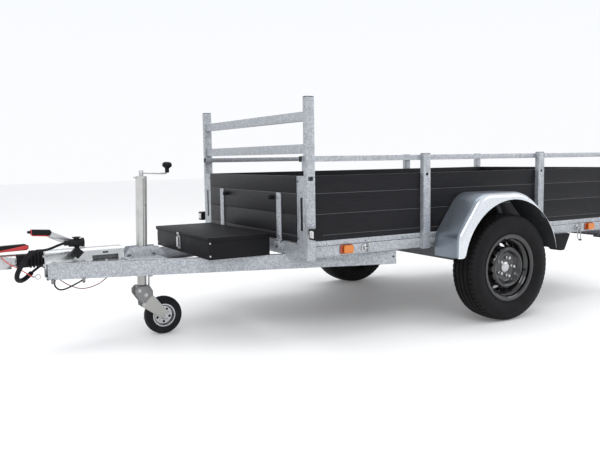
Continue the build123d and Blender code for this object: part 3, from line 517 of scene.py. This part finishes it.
def tyre(name, y0, body, node):
    segs = 512
    half = arc3((197, -70), (243, -92.4), (287, -83.9), 14)[:-1] + arc3((287, -83.9), (303, -77.9), (309.9, -64), 8)[:-1]
    # tread surface radius at a given y
    crown = arc3((309.9, -64), (313.9, 0), (309.9, 64), 60)

    def rad(y):
        for (ra, ya), (rb, yb) in zip(crown, crown[1:]):
            if ya <= y <= yb + 1e-6:
                return ra + (rb - ra) * (y - ya) / (yb - ya)
        return 309.9

    ys = set([-64.0, 64.0, -61, 61, -57, 57])
    grooves = (-47.0, -16.0, 16.0, 47.0)
    for g in grooves:
        ys |= {g - 4.4, g - 3.4, g + 3.4, g + 4.4}
    ys |= {-35.0, -28.0, 28.0, 35.0, -6.0, 6.0, 0.0}
    tread = [(rad(y), y, any(abs(y - g) < 4 for g in grooves)) for y in sorted(ys)]
    prof = [(r, y, None) for r, y in half] + tread + [(r, -y, None) for r, y in reversed(half)]
    prof += [(178.2, 68, None), (178.2, -68, None)]
    verts = []
    for j in range(segs):
        a = 2 * math.pi * j / segs
        for r, y, groove in prof:
            rr = r
            if groove is True:
                rr = r - 7.0
            elif groove is False or (r > 291 and abs(y) > 60):
                # cross cuts: shoulder slots, and slanted sipes in the ribs
                s = -1 if y < 0 else 1
                if abs(y) > 50:
                    k = (j + int(2 * s)) % 8
                    if k in (0, 1):
                        rr = r - 5.0 * (1 if r > 300 else 0.5)
                elif abs(y) > 20:
                    k = (j + int(y / 6)) % 8
                    if k == 0:
                        rr = r - 3.5
                else:
                    k = (j + int(y / 5) + 4) % 16
                    if k == 0:
                        rr = r - 2.5
            # faint rings on the side wall
            if groove is None and 205 < r < 285 and (abs(r - 214) < 3 or abs(r - 268) < 3):
                rr = r
                y = y * 1.006 if abs(y) < 90 else y
            verts.append((AX + rr / 1000 * math.cos(a), y0 + y / 1000, 0.314 + rr / 1000 * math.sin(a)))
    n = len(prof)
    faces = []
    for j in range(segs):
        k = (j + 1) % segs
        for i in range(n):
            q = (i + 1) % n
            faces.append((j * n + i, k * n + i, k * n + q, j * n + q))
    g = Geo()
    g.add(verts, faces)
    return g.make(name, "road_tyre", body, angle=38, replaces=(node,))


for word, s in (("left", -1), ("right", 1)):
    body = "wheel_" + word
    yw = s * 0.782
    tyre(f"road_tyre_{word}", yw, body, f"tyre_{word}")
    g = Geo()
    for k in range(5):
        a = math.radians(72 * k)
        p = (AX + 0.056 * math.cos(a), yw + s * 0.0355, 0.314 + 0.056 * math.sin(a))
        g.lathe([(0, 0), (0.0125, 0), (0.0118, 0.004), (0.0085, 0.008), (0.0085, 0.009)], p, (0, s, 0), 24)
        g.lathe([(0, 0.004), (0.0105, 0.004), (0.0105, 0.017), (0.0088, 0.021), (0.004, 0.0225), (0, 0.0225)], p, (0, s, 0), 6)
    g.lathe([(0.0336, 0.0302), (0.0336, 0.0370), (0.0316, 0.0408), (0.0268, 0.0440), (0.0205, 0.0462), (0.0185, 0.0455), (0.0, 0.0458)], (AX, yw, 0.314), (0, s, 0), 48)
    g.make(f"wheel_bolts_{word}", "bright_zinc", body, angle=28)
    g = Geo()
    g.sweep([(AX + 0.150, yw + s * 0.012, 0.314 - 0.03), (AX + 0.1495, yw + s * 0.035, 0.314 - 0.03), (AX + 0.149, yw + s * 0.056, 0.314 - 0.03)], 0.0042, 12)
    g.make(f"tyre_valve_{word}", "black_rubber", body)


# ---------------------------------------------------------------- gaiter
g = Geo()
x0, x1 = AX - 2.506, AX - 2.439
prof = [(0.0254, 0), (0.034, 0)]
step = (x1 - x0) / 4
for k in range(4):
    for t in [i / 12 for i in range(12)]:
        prof.append((0.0345 + 0.0112 * (0.5 - 0.5 * math.cos(2 * math.pi * t)) ** 0.6, step * (k + t)))
prof += [(0.0345, x1 - x0), (0.0254, x1 - x0)]
g.lathe(prof, (x0, 0, 0.478), (1, 0, 0), 56, closed=True)
g.make("gaiter_bellows", "black_rubber", "chassis", angle=50, replaces=("shaft_gaiter",))

# ---------------------------------------------------------------- fittings
def P(x, y, z):
    """A point given in millimetres from the axle's plane."""
    return (AX + x / 1000, y / 1000, z / 1000)


def slab(g, x0, x1, y0, y1, z0, z1):
    return g.box(P(min(x0, x1), min(y0, y1), min(z0, z1)), P(max(x0, x1), max(y0, y1), max(z0, z1)))


LEAN = math.radians(1.7)


def leant(x, y, z):
    """A point of the jockey mast, which leans back about its wheel's axis."""
    dx, dz = x + 1813, z - 106
    return P(-1813 + dx * math.cos(LEAN) + dz * math.sin(LEAN), y, 106 - dx * math.sin(LEAN) + dz * math.cos(LEAN))


MAST = (math.sin(LEAN), 0, math.cos(LEAN))

# board lines: pale strips in the grooves, painted highlight along the groove edges, and a dark joint across the front
# board
for word, s in (("left", -1), ("right", 1)):
    g = Geo()
    for z in (564, 675, 783):
        slab(g, -1239, 1256, s * 645.6, s * 646.5, z - 1.3, z + 1.3)
    g.make(f"side_board_groove_highlights_{word}", "board_groove_highlight", "chassis")
g = Geo()
for z in (564, 783):
    slab(g, -1263.6, -1264.5, -567, 567, z - 1.3, z + 1.3)
g.make("front_board_groove_highlights", "board_groove_highlight", "front_board")
g = Geo()
slab(g, -1263.6, -1265.25, -567, 567, 672.6, 677.4)
for y in (-424, -336, 336, 424):
    slab(g, -1263.6, -1265.6, y - 9, y + 9, 669, 680)
g.make("front_board_joint", "dark_line", "front_board")
g = Geo()
for z in (564, 675, 783):
    slab(g, 1255.6, 1256.5, -615, 615, z - 1.3, z + 1.3)
g.make("tailgate_groove_highlights", "board_groove_highlight", "tailgate")

# lock slots of the front corners, and screws
g, h = Geo(), Geo()
for s in (-1, 1):
    slab(g, -1264.8, -1254, s * 608.6, s * 631.4, 591.6, 764)
    slab(h, -1264.9, -1254, s * 608.6, s * 631.4, 765, 798.4)
    for z in (548, 846):
        g.rivet(P(-1265, s * 582, z), (-1, 0, 0), 0.0045, 0.0022)
g.make("lock_slots", "black_plastic", "chassis", bevel=0.0008)
h.make("lock_catches", "galvanised", "chassis", bevel=0.0004)
g = Geo()
for y in (-380, 380):
    for z in (552, 655, 757):
        g.rivet(P(-1270, y, z), (-1, 0, 0), 0.007, 0.0035)
g.make("front_strap_screws", "bright_zinc", "front_board")
g = Geo()
for y in (-420, 0, 420):
    for z in (552, 596, 640):
        g.rivet(P(1262, y, z), (1, 0, 0), 0.007, 0.0035)
g.make("tailgate_strap_screws", "bright_zinc", "tailgate")
g = Geo()
for y in (-344, -416, 344, 416):
    g.bolt(P(-1268, y, 481), (-1, 0, 0), 0.006, 0.005)
for y in (-456, -384, -36, 36, 384, 456):
    g.bolt(P(1260, y, 481), (1, 0, 0), 0.006, 0.005)
g.make("hinge_bracket_bolts", "bright_zinc", "chassis", angle=28)

# plastic caps of the tubes
g = Geo()
for s in (-1, 1):
    slab(g, -1264.4, -1215.6, s * 647.6, s * 675.4, 1274, 1277.5)
    slab(g, -1276.5, -1273, s * 619.6, s * 646.4, 948.6, 976.4)
    slab(g, 1257, 1260.5, s * 619.6, s * 646.4, 948.6, 976.4)
    for x0 in (-499, 438, 1207):
        slab(g, x0 + 0.6, x0 + 49.4, s * 647.6, s * 675.4, 983, 985.5)
g.make("tube_caps", "black_plastic", "chassis", bevel=0.001)

# rivets along the sills
g = Geo()
for s in (-1, 1):
    for k in range(10):
        x = -1130 + 250 * k
        g.rivet(P(x, s * 647, 517), (0, s, 0), 0.0032, 0.0012)
g.make("sill_rivets", "black_paint", "chassis")

# thin dark strips along the sills' lower edges: painted shadow line under the sills
g = Geo()
for s in (-1, 1):
    slab(g, -1239, 1256, s * 646.6, s * 647.25, 505.8, 508.0)
g.make("sill_shadow_lines", "dark_line", "chassis")
# black discs over the rail holes: painted shade inside the holes
g = Geo()
for s in (-1, 1):
    g.lathe([(0, 0), (0.0075, 0), (0.0075, 0.001), (0, 0.001)], P(-681.2, s * 629.6, 412), (-0.317, s * 0.948, 0), 20)
g.make("rail_hole_shades", "black_paint", "chassis")

# tie hooks: a plate with two lugs and a pin, and a hanging bow at the rear
g, h = Geo(), Geo()
for s in (-1, 1):
    for x in (-885, 857):
        slab(g, x - 18, x + 18, s * 647, s * 650, 462, 494)
        for dx in (-12, 12):
            lug = [(dx - 2.5, 0), (dx + 2.5, 0)]
            g.lathe([(0, 0), (0.0098, 0), (0.0105, 0.0008), (0.0105, 0.0042), (0.0098, 0.005), (0, 0.005)], P(x + dx - 2.5, s * 658, 478), (1, 0, 0), 28)
            slab(g, x + dx - 2.5, x + dx + 2.5, s * 649, s * 658, 469, 487)
        g.sweep([P(x - 17, s * 661, 478), P(x + 17, s * 661, 478)], 0.0042, 14)
        g.lathe([(0, 0), (0.0185, 0), (0.0195, 0.001), (0.0195, 0.0035), (0.0175, 0.005), (0, 0.005)], P(x - 6, s * 649.8, 480), (0, s, 0), 36)
        g.lathe([(0.0085, 0), (0.0085, 0.008), (0.0065, 0.011), (0, 0.011)], P(x - 6, s * 654, 480), (0, s, 0), 6)
        g.sweep([P(x + 16, s * 650, 504), P(x + 19, s * 662, 499), P(x + 22, s * 667, 486), P(x + 22, s * 667, 474), P(x + 19, s * 662, 462), P(x + 16, s * 650, 457)], 0.0045, 12)
    bow = [(842, 660, 481), (842, 661.5, 450), (842, 663, 424), (845, 664, 409), (852, 664.5, 400), (861, 665, 397)]
    g.sweep([P(x, s * y, z) for x, y, z in bow], 0.0031, 12)
    bow = [(872, 660, 481), (872, 661.5, 455), (872, 662.5, 430), (871, 663.5, 412), (869, 664.5, 400)]
    g.sweep([P(x, s * y, z) for x, y, z in bow], 0.0031, 12)
    h.sweep([P(853, s * 664.4, 399.5), P(862, s * 665, 396.5), P(876, s * 665, 396)], 0.0052, 14)
g.make("tie_hooks", "bright_zinc", "chassis", angle=40, replaces=("tie_rings",))
h.make("tie_bow_sleeves", "black_rubber", "chassis")

# front lamps
g, h = Geo(), Geo()
for s in (-1, 1):
    slab(g, -1281.5, -1262, s * 722, s * 758, 565, 603)
    slab(h, -1277, -1226, s * 712, s * 768, 556, 612)
    slab(h, -1250, -1232, s * 676, s * 716, 566, 602)
g.make("front_lamp_lenses", "white_lens", "chassis", bevel=0.006, segments=4, replaces=("front_marker_lamps",))
h.make("front_lamp_holders", "black_plastic", "chassis", bevel=0.004, segments=3)


def rounded(cx, cz, w, d, r, n=6):
    out = []
    for sx, sz, a0 in ((1, 1, 0), (-1, 1, 90), (-1, -1, 180), (1, -1, 270)):
        for k in range(n + 1):
            a = math.radians(a0 + 90 * k / n)
            out.append((cx + sx * (w / 2 - r) + r * math.cos(a), cz + sz * (d / 2 - r) + r * math.sin(a)))
    return out


# side lamps: an amber dome on a base of darker, redder amber, which is painted shade on the lamps' sides
g, h = Geo(), Geo()
for s in (-1, 1):
    for x in (-1008, 972):
        outline = [(AX + px / 1000, pz / 1000) for px, pz in rounded(x, 481, 84, 50, 12)]
        g.prism(outline, (0, s * 0.647 if s > 0 else -0.654, 0), "y", 0.007)
        outline = [(AX + px / 1000, pz / 1000) for px, pz in rounded(x + 7, 481, 62, 43, 10)]
        h.prism(outline, (0, 0.6538 if s > 0 else -0.6695, 0), "y", 0.0157)
g.make("side_lamp_bases", "amber_base_shaded", "chassis", bevel=0.003, segments=3, replaces=("side_marker_lamps",))
h.make("side_lamp_domes", "amber_lens", "chassis", bevel=0.007, segments=4)

# rear lamps: a black housing with red and amber fields
g, h, k2 = Geo(), Geo(), Geo()
for s in (-1, 1):
    slab(g, 1247, 1264, s * 480, s * 640, 374, 448)
    slab(h, 1263.5, 1277, s * 484, s * 570, 378, 444)
    slab(k2, 1263.5, 1277, s * 572, s * 636, 378, 444)
g.make("rear_lamp_housings", "black_plastic", "chassis", bevel=0.004, segments=3, replaces=("rear_lamps",))
h.make("rear_lamp_red", "red_lens", "chassis", bevel=0.004, segments=3)
k2.make("rear_lamp_amber", "amber_lens", "chassis", bevel=0.004, segments=3)

# storage box: toggle latch, corner rivets
g, h = Geo(), Geo()
slab(g, -1697.5, -1694, 4, 42, 468, 541)
slab(g, -1708, -1697, 11, 35, 478, 536)
g.sweep([P(-1706, 15, 532), P(-1709, 15, 538), P(-1709, 15, 541)], 0.0022, 8)
slab(h, -1703.5, -1700, 7, 39, 548, 561)
h.sweep([P(-1704, 12, 556), P(-1708, 23, 557.5), P(-1704, 34, 556)], 0.003, 10)
for z in (470, 537):
    g.rivet(P(-1694, 398, z), (-1, 0, 0), 0.0055, 0.003)
    for s in (-1, 1):
        g.rivet(P(-1687, s * 408, z), (0, s, 0), 0.0055, 0.003)
g.make("box_latch", "bright_zinc", "chassis", bevel=0.0008)
h.make("box_catch", "bright_zinc", "box_lid", bevel=0.0008)

# jockey wheel: knob, rib, pins and bolts
g = Geo()
g.lathe([(0, 0), (0.012, 0), (0.012, 0.026), (0.0105, 0.029), (0.0105, 0.031), (0.0, 0.031)], leant(-1932, 0, 880), MAST, 32)
g.sweep([leant(x, 0, z) for x, z in ((-1932, 897), (-1860, 896), (-1803, 895), (-1791, 897), (-1785.5, 903), (-1785, 912))], 0.0047, 14)
g.sweep([leant(-1958, 0, 873), leant(-1973, 0, 873)], 0.0055, 12)
g.make("crank_rod", "bright_zinc", "chassis", angle=40, replaces=("jockey_crank",))
g = Geo()
g.lathe([(0, 0), (0.0105, 0), (0.0115, 0.005), (0.0115, 0.022), (0.015, 0.027), (0.0225, 0.031), (0.0262, 0.037), (0.0268, 0.044),
         (0.0245, 0.052), (0.0185, 0.057), (0.009, 0.0592), (0, 0.0595)], leant(-1785, 0, 900), MAST, 40)
g.make("crank_knob", "black_plastic", "chassis", angle=40)
g = Geo()
g.sweep([leant(-1932 + 7, -28.8, z) for z in (398, 520, 640, 760, 868)], 0.0034, 12)
g.lathe([(0.0300, 0), (0.0312, 0.001), (0.0312, 0.010), (0.0300, 0.011), (0.0266, 0.011), (0.0266, 0)], leant(-1932, 0, 395), MAST, 48, closed=True)
g.make("mast_rib", "cream_zinc", "chassis", angle=40)
# a thin black line along the mast, beside the rib
g = Geo()
g.sweep([leant(-1932 + 1.4, -29.6, z) for z in (400, 520, 640, 760, 870)], 0.0013, 8)
g.make("mast_dark_line", "black_paint", "chassis")
g, h = Geo(), Geo()
for s in (-1, 1):
    for x in (-1982, -1877):
        g.bolt(P(x, s * 44, 484), (0, s, 0), 0.0085, 0.009)
    # darker half discs on the bracket plates: painted shade seen through their arched holes
    for x in (-2008, -1873):
        arc = [(AX + (x + 5 + 14 * math.cos(w)) / 1000, (454.5 + 13 * math.sin(w)) / 1000) for w in [math.pi * k / 12 for k in range(13)]]
        h.prism(arc, (0, 0.0442 if s > 0 else -0.0448, 0), "y", 0.0006)
    for x, y in ((-2010, 120), (-1880, 172), (-1890, 90), (-2000, 70)):
        g.bolt(P(x, s * y, 454), (0, 0, 1), 0.007, 0.006)
g.make("bracket_bolts", "bright_zinc", "chassis", angle=28)
h.make("bracket_hole_shades", "galvanised_shaded", "chassis")
g = Geo()
for s in (-1, 1):
    for x, z in ((-1958, 258), (-1934, 180), (-1922, 232)):
        g.bolt(leant(x, s * 41, z), (0, s, 0), 0.0065, 0.006)
    g.bolt(leant(-1813, s * 43.6, 106), (0, s, 0), 0.0095, 0.010)
    g.sweep([leant(-1880, s * 43.5, 221), leant(-1868, s * 43.5, 208), leant(-1806, s * 43.5, 133)], 0.0032, 10)
g.sweep([leant(-1893, 0, z) for z in (262, 300, 330)], 0.0058, 12)
g.bolt(leant(-1893, -8, 262), (0, -1, 0), 0.007, 0.008)
g.sweep([leant(-1893, 0, 322), leant(-1890, 0, 327), leant(-1882, 0, 330), leant(-1872, 0, 330)], 0.0045, 12)
g.make("fork_bolts", "bright_zinc", "jockey_fork", angle=28)
g = Geo()
for s in (-1, 1):
    arm = [(-1944, 168), (-1896, 222), (-1876, 224), (-1868, 210), (-1802, 132), (-1796, 114), (-1803, 98), (-1822, 94), (-1846, 102)]
    pts = [leant(x, 0, z) for x, z in arm]
    g.prism([(q[0], q[2]) for q in pts], (0, 0.0412 if s > 0 else -0.0437, 0), "y", 0.0025)
g.make("fork_arms", "satin_steel", "jockey_fork", bevel=0.0008)
g, h = Geo(), Geo()
for s in (-1, 1):
    for k in range(5):
        a = math.radians(72 * k + 20)
        g.bolt(P(-1813 + 36 * math.cos(a), s * 8, 106 + 36 * math.sin(a)), (0, s, 0), 0.0055, 0.005)
        # black discs on the rim: painted shade inside its holes
        a = math.radians(72 * k + 56)
        h.lathe([(0, 0), (0.0075, 0), (0.0075, 0.0006), (0, 0.0006)], P(-1813 + 37 * math.cos(a), s * 8, 106 + 37 * math.sin(a)), (0, s, 0), 20)
    # a thin black ring round the rim's dish: painted shade
    h.lathe([(0.0500, 0), (0.0519, 0), (0.0519, 0.0006), (0.0500, 0.0006)], P(-1813, s * 8, 106), (0, s, 0), 48, closed=True)
    h.lathe([(0.0082, 0), (0.0205, 0), (0.0205, 0.020), (0.0175, 0.0245), (0.0082, 0.0245)], P(-1813, s * 8, 106), (0, s, 0), 36, closed=True)
g.make("jockey_rim_bolts", "bright_zinc", "jockey_wheel", angle=28)
h.make("jockey_hub_and_shade", "black_plastic", "jockey_wheel")

# coupling and overrun device: red insets, bolts, and painted shade in the keyholes and inside the housing
g = Geo()
g.prism([(AX + x / 1000, z / 1000) for x, z in ((-2484, 600.3), (-2421, 596.3), (-2403, 592.5), (-2402, 586.5), (-2424, 590), (-2484, 595))], (0, -0.0115, 0), "y", 0.023)
slab(g, -2489.5, -2484.5, -14.4, 14.4, 599, 628.6)
g.prism([(AX + x / 1000, z / 1000) for x, z in ((-2640, 528.2), (-2508, 532.2), (-2512, 527), (-2640, 523.5))], (0, -0.0135, 0), "y", 0.027)
g.prism([(AX + x / 1000, z / 1000) for x, z in ((-2640, 527.4), (-2520, 531.6), (-2504.5, 533), (-2503.5, 546), (-2519, 553), (-2556, 546), (-2600, 538), (-2640, 533))], (0, -0.0177, 0), "y", 0.0354)
g.make("red_insets", "red_plastic", "chassis", bevel=0.0012)
g = Geo()
for s in (-1, 1):
    for x, y in ((-2392, 62), (-2250, 74), (-2140, 108), (-2075, 128)):
        g.bolt(P(x, s * y, 454), (0, 0, 1), 0.0075, 0.007)
    g.bolt(P(-2247, s * 9, 529), (0, s, 0), 0.009, 0.007)
    for x in (-2622, -2585):
        g.bolt(P(x, s * 30.5, 470), (0, s, 0), 0.008, 0.008)
    g.bolt(P(-2720, s * 28.5, 486), (0, s, 0), 0.007, 0.006)
    for z in (448, 494):
        g.bolt(P(-2438, s * 47, z), (-1, 0, 0), 0.007, 0.006)
g.make("housing_bolts", "bright_zinc", "chassis", angle=28)
# a dark slab inside the housing: painted shade seen through its opening
g = Geo()
slab(g, -2206, -2060, -36, 36, 456, 497)
g.make("housing_inside_shade", "galvanised_shaded", "chassis", bevel=0.001)
# black discs on the housing's sides: painted shade inside its keyholes
g = Geo()
for s in (-1, 1):
    for x in (-2143, -2062):
        g.lathe([(0, 0), (0.0075, 0), (0.0075, 0.0008), (0, 0.0008)], P(x, s * 44.6, 484), (0, s, 0.22), 20)
g.make("housing_keyhole_shades", "black_paint", "chassis")
g = Geo()
for s in (-1, 1):
    for x, y in ((-2405, 62), (-2262, 111)):
        slab(g, x - 7, x + 7, s * (y - 3), s * (y + 8), 358, 371)
        g.bolt(P(x, s * y, 358), (0, 0, -1), 0.007, 0.007)
g.make("rail_brackets", "fork_steel", "chassis", bevel=0.001)

# ---------------------------------------------------------------- mudguards
def filleted(points, arc_step=3.0, run_step=22.0):
    """An outline with its corners rounded; points: (x, z, corner radius)."""
    out = [Vector(points[0][:2])]
    for p0, p1, p2 in zip(points, points[1:], points[2:]):
        a, b, c = Vector(p0[:2]), Vector(p1[:2]), Vector(p2[:2])
        v1, v2 = (a - b).normalized(), (c - b).normalized()
        half = v1.angle(v2) / 2
        t0, t1 = b + v1 * p1[2] / math.tan(half), b + v2 * p1[2] / math.tan(half)
        mid = b + (v1 + v2).normalized() * p1[2] / math.sin(half)
        a0, a1 = math.atan2(*(t0 - mid).yx), math.atan2(*(t1 - mid).yx)
        while a1 - a0 > math.pi: a1 -= 2 * math.pi
        while a1 - a0 < -math.pi: a1 += 2 * math.pi
        n = max(4, int(abs(math.degrees(a1 - a0)) / arc_step))
        for k in range(n + 1):
            w = a0 + (a1 - a0) * k / n
            out.append(mid + Vector((math.cos(w), math.sin(w))) * p1[2])
    out.append(Vector(points[-1][:2]))
    fine = [out[0]]
    for p in out[1:]:
        n = max(1, int((p - fine[-1]).length / run_step))
        q = fine[-1].copy()
        fine += [q.lerp(p, k / n) for k in range(1, n + 1)]
    return fine


guard_line = filleted([(-423, 404, 0), (-420, 525, 70), (-250, 757, 130), (110, 757, 240), (345, 520, 200), (366, 403, 0)])
foot = guard_line[0]
guard_line = [foot.lerp(Vector((-422, 444)), k / 10) for k in range(10)] + [p for p in guard_line if p.y > 444 or p.x > 0]
cx, cz = -6.0, 339.4
lip_r = 374.6


def guard_shell(t0, t1, grow, first, last, name, material, replaces=()):
    """The sheet between two depths below its outer face."""
    g = Geo()
    for s in (-1, 1):
        grids = []
        for t in (t0, t1):
            rows = []
            for p in guard_line:
                d = Vector((cx, cz)) - p
                depth = max(d.length - lip_r, 0.6) - grow
                low = min(max(p.y - 403, 0.0), 34.0) if p.x < 0 else 34.0
                depth = max(depth - 34.0 + math.sqrt(34.0**2 - (34.0 - low) ** 2), 3.0 if p.x < 0 else 0.0)
                d.normalize()
                r = min(30.0, max(depth, 0.5) * 0.94)
                q = max(r - t, 0.05)
                sec = [(y, t) for y in (684.0, 720.0, 760.0, 800.0, 840.0)]
                sec += [(884 - r + q * math.sin(f), r - q * math.cos(f)) for f in [math.radians(90 * k / 7) for k in range(8)]]
                sec.append((884 - t, max(depth, r + 0.05)))
                sec = sec[first:last]
                rows.append([(AX + (p.x + d.x * v) / 1000, s * u / 1000, max(p.y + d.y * v, 403.2) / 1000) for u, v in sec])
            grids.append(rows)
        m, n = len(guard_line), len(grids[0][0])
        verts = [v for rows in grids for row in rows for v in row]
        at = lambda k, i, j: (k * m + i) * n + j
        faces = []
        for i in range(m - 1):
            for j in range(n - 1):
                faces.append((at(0, i, j), at(0, i, j + 1), at(0, i + 1, j + 1), at(0, i + 1, j)))
                faces.append((at(1, i, j), at(1, i + 1, j), at(1, i + 1, j + 1), at(1, i, j + 1)))
            for j in (0, n - 1):
                faces.append((at(0, i, j), at(0, i + 1, j), at(1, i + 1, j), at(1, i, j)))
        for j in range(n - 1):
            for i in (0, m - 1):
                faces.append((at(0, i, j), at(1, i, j), at(1, i, j + 1), at(0, i, j + 1)))
        g.add(verts, faces)
    return g.make(name, material, "chassis", angle=50, replaces=replaces)


guard_shell(0.0, 1.8, 0.0, 0, 9, "mudguard_sheets", "mudguard_sheet", ("mudguards",))
# the rolled edge in the lighter copy of the sheet: painted highlight
guard_shell(0.0, 1.8, 0.0, 8, 99, "mudguard_lip_highlights", "mudguard_lip_highlight")
# the inner side of the guards in dark grey: painted shade
guard_shell(2.0, 2.5, 1.0, 0, 99, "mudguard_undersides", "mudguard_inside_shade")

# ---------------------------------------------------------------- floor and light
pm = bpy.data.meshes.new("ground")
pm.from_pydata([(-30, -30, 0), (30, -30, 0), (30, 30, 0), (-30, 30, 0)], [], [(0, 1, 2, 3)])
ground = bpy.data.objects.new("ground", pm)
scene.collection.objects.link(ground)
gm, n_, l_, b_ = start("pale_floor", (0.9, 0.9, 0.9), 0.6)
l_.new(ramp(n_, l_, noise(n_, l_, coords(n_, l_), 1.2, 2.0), [(0.3, (0.89, 0.89, 0.89)), (0.7, (0.91, 0.91, 0.91))]), b_.inputs["Base Color"])
b_.inputs["Emission Color"].default_value = (1, 1, 1, 1)
b_.inputs["Emission Strength"].default_value = 0.1
pm.materials.append(gm)

world = bpy.data.worlds.new("studio")
world.use_nodes = True
wn, wl = world.node_tree.nodes, world.node_tree.links
direction = wn.new("ShaderNodeTexCoord")
parts = wn.new("ShaderNodeSeparateXYZ")
wl.new(direction.outputs["Generated"], parts.inputs["Vector"])
sky = ramp(wn, wl, parts.outputs["Z"], [(0.0, (0.97, 0.98, 1.0)), (0.25, (0.95, 0.97, 1.0)), (0.9, (0.82, 0.83, 0.85))])
wl.new(sky, wn["Background"].inputs["Color"])
wn["Background"].inputs["Strength"].default_value = 1.0
scene.world = world


def area(name, place, target, size, power):
    d = bpy.data.lights.new(name, "AREA")
    d.shape = "RECTANGLE"
    d.size, d.size_y = size
    d.energy = power
    o = bpy.data.objects.new(name, d)
    scene.collection.objects.link(o)
    o.location = place
    o.rotation_euler = (Vector(target) - Vector(place)).to_track_quat("-Z", "Y").to_euler()
    return o


area("key", (-3.5, -5.0, 5.5), (0, 0, 0.5), (4.5, 3.0), 130)
area("top", (0.5, 0.5, 6.5), (0, 0, 0.5), (6.0, 4.0), 150)
area("fill", (5.0, -5.0, 3.0), (0.5, 0, 0.5), (3.0, 3.0), 40)
